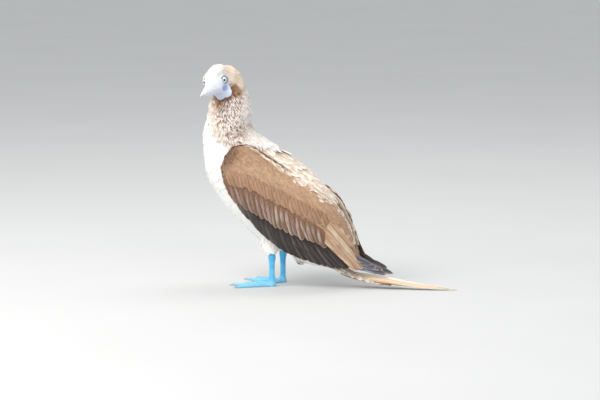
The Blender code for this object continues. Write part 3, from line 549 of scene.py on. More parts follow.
def blade(name, columns, rows, root_taper, tip_taper, dome, curl, thickness):
    """One feather along +Y, of length 1 and width 1, closed along its edges."""
    peak_at = root_taper / (root_taper + tip_taper)
    peak = peak_at ** root_taper * (1 - peak_at) ** tip_taper
    points, maps, faces = [], [], []
    for face in (1, -1):
        for row in range(rows):
            v = row / (rows - 1)
            along = 0.02 + 0.975 * v
            half = 0.5 * along ** root_taper * (1 - along) ** tip_taper / peak
            for column in range(columns):
                s = 2 * column / (columns - 1) - 1
                height = dome * (1 - s * s) * half + curl * v * (1 - v) * 4
                thick = thickness * (1 - abs(s) ** 2) * math.sin(math.pi * (0.12 + 0.8 * v))
                points.append((s * half, v, height + face * thick / 2))
                maps.append(((s + 1) / 2, v))
    layer = rows * columns
    for face in (0, 1):
        for row in range(rows - 1):
            for column in range(columns - 1):
                a = face * layer + row * columns + column
                quad = (a, a + 1, a + columns + 1, a + columns)
                faces.append(quad if face == 0 else quad[::-1])
    mesh = bpy.data.meshes.new(name)
    mesh.from_pydata(points, [], faces)
    layer_uv = mesh.uv_layers.new(name="Vane")
    for loop in mesh.loops:
        layer_uv.data[loop.index].uv = maps[loop.vertex_index]
    form = bmesh.new()
    form.from_mesh(mesh)
    bmesh.ops.remove_doubles(form, verts=form.verts, dist=1e-6)
    crisp_edges(form)
    form.to_mesh(mesh)
    form.free()
    made = bpy.data.objects.new(name, mesh)
    bpy.context.scene.collection.objects.link(made)
    made.hide_render = True
    return made


def coat_tree():
    """Geometry nodes that set feathers on a surface, along its flow and by its cover."""
    tree = bpy.data.node_groups.new("coat", "GeometryNodeTree")
    kinds = {"Surface": "NodeSocketGeometry", "Blade": "NodeSocketObject", "Spacing": "NodeSocketFloat",
             "Length": "NodeSocketFloat", "Width": "NodeSocketFloat", "Rise": "NodeSocketFloat",
             "Stray": "NodeSocketFloat", "Seed": "NodeSocketInt", "Finish": "NodeSocketMaterial"}
    for name, kind in kinds.items():
        tree.interface.new_socket(name, in_out="INPUT", socket_type=kind)
    tree.interface.new_socket("Coat", in_out="OUTPUT", socket_type="NodeSocketGeometry")
    entry = tree.nodes.new("NodeGroupInput")
    given = {name: Socket(tree, entry.outputs[name]) for name in kinds}
    start = given["Surface"]

    def attribute(name, kind="FLOAT"):
        return start.node("GeometryNodeInputNamedAttribute", {"data_type": kind}, {"Name": name})

    def chance(low, high, step):
        return start.node("FunctionNodeRandomValue", {"data_type": "FLOAT"},
                          {2: low, 3: high, 8: given["Seed"] + step}, 1)

    spread = tree.nodes.new("GeometryNodeDistributePointsOnFaces")
    spread.distribute_method = "POISSON"
    for name, value in (("Mesh", start), ("Distance Min", given["Spacing"]), ("Seed", given["Seed"]),
                        ("Density Factor", attribute("cover")),
                        ("Density Max", 6.0 / (given["Spacing"] * given["Spacing"]))):
        tree.links.new(value.socket, spread.inputs[name])
    points, normal = Socket(tree, spread.outputs["Points"]), Socket(tree, spread.outputs["Normal"])
    aim = start.node("FunctionNodeAxesToRotation", {"primary_axis": "Z", "secondary_axis": "Y"},
                     {"Primary Axis": normal, "Secondary Axis": attribute("flow", "FLOAT_VECTOR")})
    lean = start.node("ShaderNodeCombineXYZ", {}, {
        "X": given["Rise"] * chance(0.7, 1.3, 1), "Y": chance(-0.10, 0.10, 2),
        "Z": given["Stray"] * chance(-1.0, 1.0, 3)})
    turn = start.node("FunctionNodeEulerToRotation", {}, {"Euler": lean})
    aim = start.node("FunctionNodeRotateRotation", {"rotation_space": "LOCAL"},
                     {"Rotation": aim, "Rotate By": turn})
    size = attribute("size") * chance(0.86, 1.14, 4)
    length = given["Length"] * size
    scale = start.node("ShaderNodeCombineXYZ", {}, {
        "X": given["Width"] * size * chance(0.9, 1.1, 5), "Y": length, "Z": length})
    shape = start.node("GeometryNodeObjectInfo", {}, {"Object": given["Blade"], "As Instance": True},
                       "Geometry")
    rooted = start.node("GeometryNodeStoreNamedAttribute", {"data_type": "FLOAT_VECTOR", "domain": "POINT"},
                        {"Geometry": points, "Name": "root_map", "Value": attribute("OFBake", "FLOAT_VECTOR")})
    rooted = start.node("GeometryNodeStoreNamedAttribute", {"data_type": "FLOAT", "domain": "POINT"},
                        {"Geometry": rooted, "Name": "tone", "Value": chance(-1.0, 1.0, 6)})
    rooted = start.node("GeometryNodeRemoveAttribute", {}, {"Geometry": rooted, "Name": "OFBake"})
    laid = start.node("GeometryNodeInstanceOnPoints", {},
                      {"Points": rooted, "Instance": shape, "Rotation": aim, "Scale": scale})
    real = start.node("GeometryNodeRealizeInstances", {}, {"Geometry": laid})
    own = start.node("ShaderNodeVectorMath", {"operation": "SUBTRACT"},
                     {0: attribute("Vane", "FLOAT_VECTOR"), 1: (0.5, 0.5, 0.0)})
    spot = start.node("ShaderNodeVectorMath", {"operation": "SCALE"}, {0: own, "Scale": patch})
    spot = start.node("ShaderNodeVectorMath", {"operation": "ADD"},
                      {0: spot, 1: attribute("root_map", "FLOAT_VECTOR")})
    real = start.node("GeometryNodeStoreNamedAttribute", {"data_type": "FLOAT2", "domain": "CORNER"},
                      {"Geometry": real, "Name": "OFBake", "Value": spot})
    done = start.node("GeometryNodeSetMaterial", {}, {"Geometry": real, "Material": given["Finish"]})
    exit_node = tree.nodes.new("NodeGroupOutput")
    tree.links.new(done.socket, exit_node.inputs["Coat"])
    return tree


coat_rules = coat_tree()
spare_attributes = ("flow", "cover", "size", "root_map", "bare", "blue")


def grow(name, ground, cover, size, finish, slot, **inputs):
    """A coat of feathers on a ground mesh, where cover is over 0, as a plain mesh piece."""
    mesh = ground.data.copy()
    for attribute, values in (("cover", cover), ("size", size)):
        set_attribute(mesh, attribute, values, "FLOAT")
    made = bpy.data.objects.new(name, mesh)
    bpy.context.scene.collection.objects.link(made)
    step = made.modifiers.new("coat", "NODES")
    step.node_group = coat_rules
    values = dict(inputs, Finish=finish.material)
    for item in coat_rules.interface.items_tree:
        if item.name in values:
            step[item.identifier] = values[item.name]
    evaluated(made)
    for attribute in spare_attributes:
        if attribute in made.data.attributes:
            made.data.attributes.remove(made.data.attributes[attribute])
    return shown(made, finish)


def clear_of_wings(coat, pattern):
    """Takes out the feathers of a coat that would lie on the outside of a folded wing."""
    spots = coordinates(coat.data) - np.array(home)
    stray = (under_wing(spots) > 0.0015) & (np.abs(spots[:, 1]) > 0.0575) & (spots[:, 0] < 0.0)
    each = len(pattern.data.vertices)
    lost = np.repeat(stray.reshape(-1, each).any(axis=1), each)
    form = bmesh.new()
    form.from_mesh(coat.data)
    form.verts.ensure_lookup_table()
    bmesh.ops.delete(form, geom=[form.verts[i] for i in np.flatnonzero(lost)], context="VERTS")
    form.to_mesh(coat.data)
    form.free()


def plumage_finish(name, shaft, fringe_at, contrast, relief=0.6, tip_at=(0.12, 0.62)):
    """Small feathers: darker at the root, with fine barbs, a shaft and a pale fringe."""
    finish = Finish(name, Specular_IOR_Level=0.25, Sheen_Weight=0.25, Sheen_Roughness=0.5)
    start = finish.start
    vane = start.node("ShaderNodeUVMap", {"uv_map": "Vane"})
    across = start.node("ShaderNodeSeparateXYZ", {}, {0: vane}, "X") * 2.0 - 1.0
    along = start.node("ShaderNodeSeparateXYZ", {}, {0: vane}, "Y")
    tone = start.named("tone")
    off = abs(across)
    barbs = start.noise(1.0, 2.0, start.node("ShaderNodeCombineXYZ", {}, {
        "X": across * 2.2, "Y": (along - off * 0.35) * 26.0, "Z": tone * 9.0}))
    reach = along + (barbs - 0.5) * 0.25 + tone * 0.07
    colour = reach.ramp(*tip_at).mix(start.named("under", "Vector"), start.named("plume", "Vector"))
    edge_share = (off * 0.35 + along * 0.75 + (barbs - 0.5) * 0.12).ramp(*fringe_at) * start.named("fringe")
    colour = edge_share.mix(colour, tint(243, 232, 220))
    colour = (off.ramp(0.20, 0.04) * shaft * (1.0 - along * 0.6)).mix(colour, start.named("under", "Vector"))
    shade = 1.0 + tone * contrast + (barbs - 0.5) * (0.05 + contrast * 1.1)
    finish.feed("Base Color", colour.scaled(shade))
    finish.feed("Roughness", 0.68 + 0.2 * barbs)
    finish.bump(barbs, relief, 0.0005)
    return finish


plumage = plumage_finish("body_plumage", 0.06, (0.62, 0.86), 0.015, 0.3)
streaked_plumage = plumage_finish("streaked_plumage", 0.75, (0.62, 0.86), 0.07, 0.6, (0.24, 0.70))
mantle_plumage = plumage_finish("mantle_plumage", 0.35, (0.60, 0.80), 0.07)

soft_blade = blade("soft_blade", 3, 6, 0.42, 0.40, 0.10, 0.03, 0.012)
spiked_blade = blade("spiked_blade", 3, 6, 0.34, 0.80, 0.36, 0.04, 0.028)
broad_blade = blade("broad_blade", 5, 9, 0.40, 0.32, 0.13, 0.03, 0.012)
head_blade = blade("head_blade", 3, 5, 0.40, 0.46, 0.20, 0.05, 0.026)

feathered = (bare < 0.4) & (covered < 0.001) & (np.linalg.norm(flow, axis=1) > 0.5) & steady
is_head = (head_share > 0.5) & feathered
is_neck = (neck_share > 0.5) & feathered & (regions(places)[3] > -0.016)
is_back = (back_share > 0.5) & feathered & ~is_neck & ~is_head
is_white = feathered & ~is_head & ~is_neck & ~is_back
is_breast = is_white & (places[:, 2] + 0.35 * places[:, 0] > 0.165)
is_thigh = is_white & (places[:, 2] < 0.100 + 0.2 * places[:, 0]) & (np.abs(places[:, 0] - 0.005) < 0.034)
is_rump = is_back & (places[:, 0] > 0.108)
is_back &= ~is_rump
is_belly = (is_white & ~is_breast & ~is_thigh) | is_rump
face_size = 0.55 + 0.45 * smooth(0.010, 0.030, distance(in_head(places), (0.012, 0, 0)) - 0.010)
grow("head_feathers", skin, is_head, face_size, streaked_plumage, "streaked_feathers",
     Blade=head_blade, Spacing=0.00150, Length=0.0092, Width=0.0031, Rise=0.060, Stray=0.12, Seed=11)
grow("neck_feathers", skin, is_neck, np.ones(len(places)), streaked_plumage, "streaked_feathers",
     Blade=spiked_blade, Spacing=0.0030, Length=0.0165, Width=0.0050, Rise=0.18, Stray=0.15, Seed=12)
breast = grow("breast_feathers", skin, is_breast, 0.8 + 0.3 * smooth(0.34, 0.22, places[:, 2]), plumage,
     "white_feathers", Blade=soft_blade, Spacing=0.0031, Length=0.0175, Width=0.0092, Rise=0.045,
     Stray=0.09, Seed=13)
belly = grow("belly_feathers", skin, is_belly, np.ones(len(places)), plumage, "white_feathers",
     Blade=soft_blade, Spacing=0.0034, Length=0.0185, Width=0.0100, Rise=0.042, Stray=0.09, Seed=14)
clear_of_wings(breast, soft_blade)
clear_of_wings(belly, soft_blade)
grow("thigh_feathers", skin, is_thigh, np.ones(len(places)), plumage, "white_feathers",
     Blade=soft_blade, Spacing=0.0022, Length=0.0110, Width=0.0064, Rise=0.035, Stray=0.10, Seed=16)
back_size = 0.62 + 0.5 * smooth(-0.06, 0.05, places[:, 0])
grow("mantle_feathers", skin, is_back, back_size, mantle_plumage, "white_feathers",
     Blade=broad_blade, Spacing=0.0060, Length=0.0290, Width=0.0165, Rise=0.09, Stray=0.10, Seed=15)

# Wings: folded along the flanks. The arm is a flat form under small brown coverts, and five
# tiers of long vanes lie on it and past it: the secondaries and primaries, over them the greater
# coverts and tertials, and over those the median coverts.
arm_stations = 10
far_tip_longer = 0.008
sides = {"left": -1.0, "right": 1.0}


def curve_rows(rows, steps):
    """The rows of a table with steps rows in each interval, on a smooth curve."""
    rows = np.array(rows, float)
    around = np.vstack([2 * rows[0] - rows[1], rows, 2 * rows[-1] - rows[-2]])
    made = []
    for before, here, there, after in zip(around, around[1:], around[2:], around[3:]):
        for t in np.arange(steps) / steps:
            made.append(here + 0.5 * t * (there - before)
                        + t * t * (before - 2.5 * here + 2 * there - 0.5 * after)
                        + t ** 3 * 0.5 * (3 * here - before - 3 * there + after))
    made.append(rows[-1])
    return np.array(made)


def wing_form(side, sink, steps, across, stations):
    """Outer and inner face of a wing, as arrays of rows of points."""
    rows = curve_rows(wing_rows, steps)
    if side == "right":
        begin, end = rows[len(rows) // 2, 2], rows[-1, 2]
        share = np.clip((rows[:, 2] - begin) / (end - begin), 0, 1) ** 2
        rows[:, (0, 2)] += far_tip_longer * share[:, None]
    rows = rows[: (stations - 1) * steps + 1]
    v = np.linspace(0, 1, across)[None, :]
    top_x, top_z, low_x, low_z, top_y, mid_y, low_y, thick = [c[:, None] for c in rows.T]
    bulge = 4 * v * (1 - v)
    y = top_y * (1 - v) * (1 - 2 * v) + mid_y * bulge + low_y * v * (2 * v - 1)
    near = np.maximum(y - thick * (0.55 + 0.45 * bulge), 0.0012)
    outer = np.maximum(y - sink * np.clip(v * 5, 0, 1), near + 0.0006)
    x, z = top_x + (low_x - top_x) * v, top_z + (low_z - top_z) * v
    out = sides[side]
    return (np.stack([x, out * outer, z], axis=2), np.stack([x, out * near, z], axis=2))


def grid_faces(rows, columns, first=0, flip=False):
    faces = []
    for row in range(rows - 1):
        for column in range(columns - 1):
            a = first + row * columns + column
            quad = (a, a + 1, a + columns + 1, a + columns)
            faces.append(quad[::-1] if flip else quad)
    return faces


def outward(thing):
    """Turns the faces of a closed mesh outward."""
    form = bmesh.new()
    form.from_mesh(thing.data)
    bmesh.ops.recalc_face_normals(form, faces=form.faces)
    crisp_edges(form)
    form.to_mesh(thing.data)
    form.free()
    return thing


class WingFace:
    """The wing's outer face, where places of the side view find how far out they lie."""

    def __init__(self, side):
        self.out = sides[side]
        outer, inner = wing_form(side, 0.0, 4, 25, len(wing_rows))
        points = np.vstack([outer.reshape(-1, 3), inner.reshape(-1, 3)])
        count = len(points) // 2
        faces = grid_faces(outer.shape[0], 25) + grid_faces(outer.shape[0], 25, count)
        self.tree = BVHTree.FromPolygons([tuple(p) for p in points], faces)
        self.outline = BVHTree.FromPolygons([(x, 0.0, z) for x, _, z in points], faces)

    def hits(self, x, z):
        way = Vector((0, self.out, 0))
        outer = self.tree.ray_cast(Vector((x, 0.2 * self.out, z)), -way)[0]
        inner = self.tree.ray_cast(Vector((x, -0.01 * self.out, z)), way)[0]
        return outer, inner

    def at(self, x, z, lift):
        """The point abreast of a place of the side view, at a height over the face."""
        outer, inner = self.hits(x, z)
        if outer is None:
            edge = self.outline.find_nearest(Vector((x, 0.0, z)))[0]
            past = Vector((x - edge.x, 0, z - edge.z))
            inside = edge - past.normalized() * 0.001
            outer, inner = self.hits(inside.x, inside.z)
            if outer is None:
                outer = inner = self.tree.find_nearest(Vector((x, 0.01 * self.out, z)))[0]
            x, z = edge.x + 0.25 * past.x, edge.z + 0.25 * past.z
        height = max(abs(outer.y) + lift, abs(inner.y) + 0.0006)
        return np.array((x, self.out * height, z))


def vane(place, root, tip, half, lifts, tilt, point, bow, look, chance, rows=22, columns=11):
    """A long feather from root to tip (X, Z each), where place(x, z, lift) puts it.

    lifts are its heights from root to tip, tilt raises one edge over the next feather, point is
    the share of it that tapers, and bow bends it in its own plane. Returns a dict of its mesh.
    """
    root, tip = np.array(root, float), np.array(tip, float)
    length = np.linalg.norm(tip - root)
    way = (tip - root) / length
    square = np.array((-way[1], way[0]))
    nicks = [(chance.uniform(0.35, 0.9), chance.choice((-1, 1)), chance.uniform(0.04, 0.12)) for _ in range(3)]
    lean = chance.normal(0, 0.012)
    top, maps = [], []
    for row in range(rows):
        v = 1 - (1 - row / (rows - 1)) ** 1.6
        width = min(1.0, 0.30 + 2.4 * v) * (1 - np.clip((v - 1 + point) / point, 0, 1) ** 2.2) ** 0.5
        middle = root + way * (length * v) + square * length * (bow * 4 * v * (1 - v) + lean * v * v)
        lift = np.interp(v, (0, 0.26, 0.5, 1), lifts)
        for column in range(columns):
            s = 2 * column / (columns - 1) - 1
            reach = s * half * max(width, 0.03) * (0.86 if s < 0 else 1.0)
            for at, side, deep in nicks:
                if s * side > 0.5 and abs(v - at) < 0.03:
                    reach *= 1 - deep * (abs(s) - 0.5) * 2
            ridge = 0.0005 * math.exp(-(s / 0.12) ** 2) * (1 - 0.7 * v)
            dome = 0.0012 * (1 - s * s) * (half / 0.011)
            x, z = middle + square * reach + way * (-0.10 * half * abs(s))
            top.append(place(x, z, lift - s * half * tilt + dome + ridge))
            maps.append(((s + 1) / 2, v))
    top = np.array(top)
    down = np.zeros_like(top)
    down[:, 1] = -np.sign(top[:, 1])
    if look.get("flat"):
        down[:] = (0, 0, -1)
    s = np.array(maps)[:, 0] * 2 - 1
    thick = 0.00032 + 0.0005 * np.exp(-(s / 0.15) ** 2)
    bottom = top + down * thick[:, None]
    count = len(top)
    faces = grid_faces(rows, columns) + grid_faces(rows, columns, count, True)
    rim = ([k for k in range(columns)] + [r * columns + columns - 1 for r in range(1, rows)]
           + [(rows - 1) * columns + k for k in range(columns - 2, -1, -1)]
           + [r * columns for r in range(rows - 2, 0, -1)])
    for a, b in zip(rim, rim[1:] + rim[:1]):
        faces.append((a, a + count, b + count, b))
    return {"points": np.vstack([top, bottom]), "faces": faces, "maps": maps * 2, "look": look,
            "tone": chance.uniform(-1, 1), "length": length, "half": half}


def vanes_piece(name, vanes, finish, replaced=()):
    """Joins long feathers in one piece, with a map of each feather and a map for the bake."""
    points, faces, first = [], [], 0
    for one in vanes:
        points.append(one["points"])
        faces += [tuple(i + first for i in face) for face in one["faces"]]
        first += len(one["points"])
    made = piece(name, np.vstack(points), faces, finish, replaced)
    mesh = made.data
    counts = [len(one["points"]) for one in vanes]
    for key in ("plume", "edge", "streak"):
        values = np.vstack([np.tile(one["look"][key], (n, 1)) for one, n in zip(vanes, counts)])
        set_attribute(mesh, key, values)
    for key, values in (("tone", [o["tone"] for o in vanes]), ("reach", [o["length"] for o in vanes])):
        set_attribute(mesh, key, np.repeat(values, counts), "FLOAT")
    maps = np.vstack([one["maps"] for one in vanes])
    owner = np.repeat(np.arange(len(vanes)), counts)
    corners = np.array([loop.vertex_index for loop in mesh.loops])
    mesh.uv_layers.new(name="Vane").data.foreach_set("uv", maps[corners].astype(np.float32).ravel())
    across = math.ceil(math.sqrt(len(vanes) / 3))
    down = math.ceil(len(vanes) / across)
    cell = np.array((1 / across, 1 / down))
    corner_of = np.stack([owner % across, owner // across], axis=1) * cell
    under_side = np.concatenate([np.repeat((0.0, 0.5), n // 2) for n in counts])[:, None]
    inside = maps * (0.46, 0.96) + np.hstack([under_side + 0.02, np.full_like(under_side, 0.02)])
    bake = corner_of + inside * cell
    mesh.uv_layers.new(name="OFBake").data.foreach_set("uv", bake[corners].astype(np.float32).ravel())
    mesh.uv_layers["OFBake"].active_render = True
    return outward(made)


def quill_finish(name):
    """Long feathers: barbs slanting from a shaft, one edge of another brown, a pale streak of painted sheen."""
    finish = Finish(name, Specular_IOR_Level=0.4, Sheen_Weight=0.15, Sheen_Roughness=0.4)
    start = finish.start
    vane_map = start.node("ShaderNodeUVMap", {"uv_map": "Vane"})
    across = start.node("ShaderNodeSeparateXYZ", {}, {0: vane_map}, "X") * 2.0 - 1.0
    along = start.node("ShaderNodeSeparateXYZ", {}, {0: vane_map}, "Y")
    off, tone, reach = abs(across), start.named("tone"), start.named("reach")
    run = (along * reach - off * 0.006) * 1000.0
    barbs = start.noise(1.0, 3.0, start.node("ShaderNodeCombineXYZ", {}, {
        "X": across * 1.3, "Y": run * 0.9, "Z": tone * 17.0}))
    clumps = start.noise(1.0, 2.0, start.node("ShaderNodeCombineXYZ", {}, {
        "X": across * 1.1, "Y": run * 0.16, "Z": tone * 31.0 + 5.0}))
    colour = start.named("plume", "Vector")
    threads = start.noise(1.0, 3.0, start.node("ShaderNodeCombineXYZ", {}, {
        "X": across * 4.5, "Y": run * 0.035, "Z": tone * 23.0 + 9.0}))
    # Painted sheen: a pale streak along each vane's exposed edge, broken by threads of barbs and fading towards the
    # root.
    lit = (across + 0.5 * (threads - 0.5)).ramp(0.15, -0.55) * threads.ramp(0.36, 0.60)
    lit = lit * along.ramp(0.10, 0.50) * (0.62 + 0.38 * tone)
    colour = lit.mix(colour, start.named("streak", "Vector"))
    rim = (across + 0.3 * (clumps - 0.5)).ramp(0.35, 0.95)
    colour = (rim * 0.85).mix(colour, start.named("edge", "Vector"))
    tip_fringe = (along + 0.02 * (barbs - 0.5)).ramp(0.955, 0.99) * 0.55
    colour = tip_fringe.mix(colour, tint(206, 188, 164))
    colour = (off.ramp(0.075, 0.02) * 0.7).mix(colour, tint(70, 48, 34))
    shade = 1.0 + tone * 0.08 + (barbs - 0.5) * 0.26 + (clumps - 0.5) * 0.20 + (threads - 0.5) * 0.30
    finish.feed("Base Color", colour.scaled(shade))
    finish.feed("Roughness", 0.5 + 0.25 * barbs)
    finish.bump(barbs * 0.7 + clumps * 0.3, 0.5, 0.0006)
    return finish


quill = quill_finish("wing_and_tail_quills")
# Each look: the vane's own colour, the colour of its one edge and the colour of its painted sheen.
looks = {
    "covert": {"plume": tint(124, 90, 70), "edge": tint(144, 92, 64), "streak": tint(178, 164, 154)},
    "median": {"plume": tint(158, 122, 94), "edge": tint(146, 106, 78), "streak": tint(172, 136, 108)},
    "secondary": {"plume": tint(47, 39, 36), "edge": tint(41, 32, 28), "streak": tint(106, 98, 96)},
    "tertial": {"plume": tint(172, 134, 104), "edge": tint(112, 76, 52), "streak": tint(212, 186, 160)},
    "innermost": {"plume": tint(186, 152, 122), "edge": tint(214, 190, 164), "streak": tint(216, 192, 166)},
    "primary": {"plume": tint(88, 84, 90), "edge": tint(128, 122, 126), "streak": tint(172, 176, 188)},
}
# tier: roots and tips of its first and last feathers by way of a line (X, Z), count, half
# width, heights, tilt, taper, bow and how much higher each feather lies than the one before
tiers = {
    "secondary": (
        [(-0.050, 0.182), (-0.008, 0.156), (0.030, 0.137), (0.070, 0.116), (0.108, 0.098)],
        [(-0.028, 0.128), (0.026, 0.076), (0.074, 0.053), (0.118, 0.043), (0.158, 0.037)],
        17, 0.0098, (-0.0030, -0.0002, 0.0010, 0.0004), 0.10, 0.22, 0.02, 0.0),
    "primary": (
        [(0.116, 0.062), (0.120, 0.070), (0.124, 0.079)],
        [(0.2290, 0.0285), (0.2140, 0.0360), (0.1990, 0.0450)],
        5, 0.0075, (0.0, 0.0, 0.0, 0.0), 0.10, 0.45, 0.0, 0.0007),
    "covert": (
        [(-0.064, 0.208), (-0.022, 0.199), (0.022, 0.180), (0.064, 0.155), (0.106, 0.134)],
        [(-0.050, 0.162), (-0.008, 0.138), (0.034, 0.117), (0.078, 0.098), (0.120, 0.083)],
        18, 0.0086, (-0.0010, 0.0030, 0.0038, 0.0028), 0.10, 0.24, 0.01, 0.0),
    "tertial": (
        [(0.092, 0.128), (0.099, 0.140), (0.106, 0.152)],
        [(0.1780, 0.036), (0.1870, 0.041), (0.1790, 0.056)],
        6, 0.0098, (-0.0050, 0.0012, 0.0050, 0.0030), 0.10, 0.34, 0.03, 0.0004),
    "median": (
        [(-0.070, 0.226), (-0.026, 0.219), (0.020, 0.199), (0.064, 0.176), (0.110, 0.152)],
        [(-0.062, 0.196), (-0.014, 0.186), (0.032, 0.166), (0.076, 0.144), (0.124, 0.122)],
        25, 0.0068, (0.0000, 0.0044, 0.0050, 0.0038), 0.08, 0.30, 0.01, 0.0),
}
primary_x = (0.110, 0.150, 0.175, 0.200, 0.230)
primary_out = (0.0390, 0.0320, 0.0205, 0.0115, 0.0075)


def along_line(points, count):
    """Evenly spread points on a curve through (X, Z) points."""
    points = curve_rows(points, 6)
    run = np.concatenate([[0], np.cumsum(np.linalg.norm(np.diff(points, axis=0), axis=1))])
    marks = np.linspace(0, run[-1], count)
    return np.stack([np.interp(marks, run, points[:, k]) for k in range(2)], axis=1)


small_covert_finish = plumage_finish("small_coverts", 0.30, (0.78, 1.02), 0.13, 0.8)
covert_brown, covert_dark, covert_pale = tint(180, 144, 114), tint(122, 90, 66), tint(198, 164, 134)
covert_blade = blade("covert_blade", 3, 7, 0.42, 0.34, 0.26, 0.05, 0.026)
for side, out in sides.items():
    face = WingFace(side)
    chance = np.random.default_rng({"left": 21, "right": 22}[side])
    vanes = []
    for tier, (roots, tips, count, half, lifts, tilt, point, bow, step) in tiers.items():
        if side == "right" and tier == "primary":
            tips = [(x + far_tip_longer, z) for x, z in tips]
        for k, (root, tip) in enumerate(zip(along_line(roots, count), along_line(tips, count))):
            def place(x, z, lift, layer=step * k):
                if tier != "primary":
                    return face.at(x, z, lift + layer)
                return np.array((x, out * (np.interp(x, primary_x, primary_out) + lift + layer), z))
            root, tip = root + chance.normal(0, 0.0006, 2), tip + chance.normal(0, 0.0016, 2)
            look = looks["innermost" if tier == "tertial" and k > 4 else tier]
            vanes.append(vane(place, root, tip, half * chance.uniform(0.95, 1.08), lifts, tilt, point,
                              bow, look, chance))
    vanes_piece(f"wing_quills_{side}", vanes, quill)

    outer, inner = wing_form(side, 0.0016, 4, 17, arm_stations)
    rows, columns = outer.shape[:2]
    arm_points = np.vstack([outer.reshape(-1, 3), inner.reshape(-1, 3)])
    count = rows * columns
    arm_faces = grid_faces(rows, columns) + grid_faces(rows, columns, count, True)
    rim = ([k for k in range(columns)] + [r * columns + columns - 1 for r in range(1, rows)]
           + [(rows - 1) * columns + k for k in range(columns - 2, -1, -1)]
           + [r * columns for r in range(rows - 2, 0, -1)])
    arm_faces += [(a, a + count, b + count, b) for a, b in zip(rim, rim[1:] + rim[:1])]
    arm = piece(f"wing_arm_{side}", arm_points, arm_faces, small_covert_finish,
                [f"wing_{side}"])
    outward(arm)
    arm_places = coordinates(arm.data) - np.array(home)
    x, z = arm_places[:, 0], arm_places[:, 2]
    front_edge = np.interp(z, (0.15, 0.187, 0.214, 0.24, 0.26), (-0.047, -0.073, -0.081, -0.082, -0.070))
    shade = smooth(0.003, 0.028, x - front_edge)[:, None]
    arm_plume = np.array(covert_dark) * (1 - shade) + np.array(covert_brown) * shade
    middle_band = (smooth(0.0, 0.03, z - np.interp(x, (-0.09, -0.02, 0.03, 0.07, 0.13), (0.20, 0.205, 0.19, 0.165, 0.13)))
                   * smooth(0.05, 0.02, z - np.interp(x, (-0.09, -0.02, 0.03, 0.07, 0.13), (0.20, 0.205, 0.19, 0.165, 0.13))))
    arm_plume = arm_plume + (np.array(covert_pale) - arm_plume) * (0.5 * middle_band[:, None])
    # The arm's inner face turns cream: partly the pale lining's own colour, partly painted light for a face that
    # lies in shade.
    inward = smooth(0.1, -0.3, coordinates(arm.data, "normal")[:, 1] * out)[:, None]
    arm_plume = arm_plume + (np.array(tint(232, 212, 190)) - arm_plume) * inward
    set_attribute(arm.data, "plume", arm_plume)
    set_attribute(arm.data, "under", arm_plume * 0.75)
    set_attribute(arm.data, "fringe", np.full(len(x), 0.5), "FLOAT")
    set_attribute(arm.data, "flow", np.tile((0.76, 0.0, -0.65), (len(x), 1)))
    unwrap(arm)
    upper_edge = np.interp(x, [row[0] for row in wing_rows], [row[1] for row in wing_rows])
    band = np.interp(x, (-0.02, 0.02, 0.06, 0.125, 0.16), (0.0, 0.002, 0.005, 0.006, 0.004))
    in_band = (upper_edge - z < band) & (x > -0.02) & (x < 0.153)
    outer_side = np.abs(coordinates(arm.data, "normal")[:, 1]) > 0.1
    lowest = np.interp(x, (-0.095, -0.024, 0.022, 0.066, 0.122, 0.16), (0.19, 0.190, 0.168, 0.146, 0.118, 0.09))
    facing = coordinates(arm.data, "normal")[:, 1] * out
    down_face = np.tile(np.arange(columns) / (columns - 1), 2 * rows)
    low_rim = (down_face > 0.78) & (facing > -0.3) & (facing < 0.75) & (x < -0.046)
    coverts_at = ((z > lowest) & (facing > 0.3) & outer_side & ~in_band) | low_rim
    ramp_size = 0.62 + 0.5 * smooth(-0.085, 0.0, x)
    grow(f"small_coverts_{side}", arm, coverts_at, ramp_size, small_covert_finish, "wing_feathers",
         Blade=covert_blade, Spacing=0.0031, Length=0.0170, Width=0.0090, Rise=0.07, Stray=0.08,
         Seed=31 if side == "left" else 32)
    pale = arm.copy()
    pale.data = arm.data.copy()
    for key, colour in (("plume", mantle_tan), ("under", mantle_root)):
        pale.data.attributes[key].data.foreach_set("vector", np.tile(colour, len(x)).astype(np.float32))
    pale.data.attributes["fringe"].data.foreach_set("value", np.full(len(x), 0.8, dtype=np.float32))
    pale.data.attributes["flow"].data.foreach_set(
        "vector", np.tile((0.82, 0.0, -0.62), len(x)).astype(np.float32))
    grow(f"scapulars_{side}", pale, in_band & (facing > -0.3), 1.0 - 0.4 * smooth(0.09, 0.15, x), mantle_plumage, "white_feathers",
         Blade=broad_blade, Spacing=0.0046, Length=0.0230, Width=0.0120, Rise=0.05, Stray=0.10,
         Seed=33 if side == "left" else 34)
    bpy.data.objects.remove(pale)
    # The lining feathers take the arm's cream, which is partly painted light.
    grow(f"wing_lining_{side}", arm, (facing < -0.3) & (upper_edge - z < 0.05) & (x > 0.02), np.ones(len(x)),
         mantle_plumage, "wing_feathers", Blade=covert_blade, Spacing=0.0048, Length=0.0220, Width=0.0110,
         Rise=0.05, Stray=0.08, Seed=35 if side == "left" else 36)

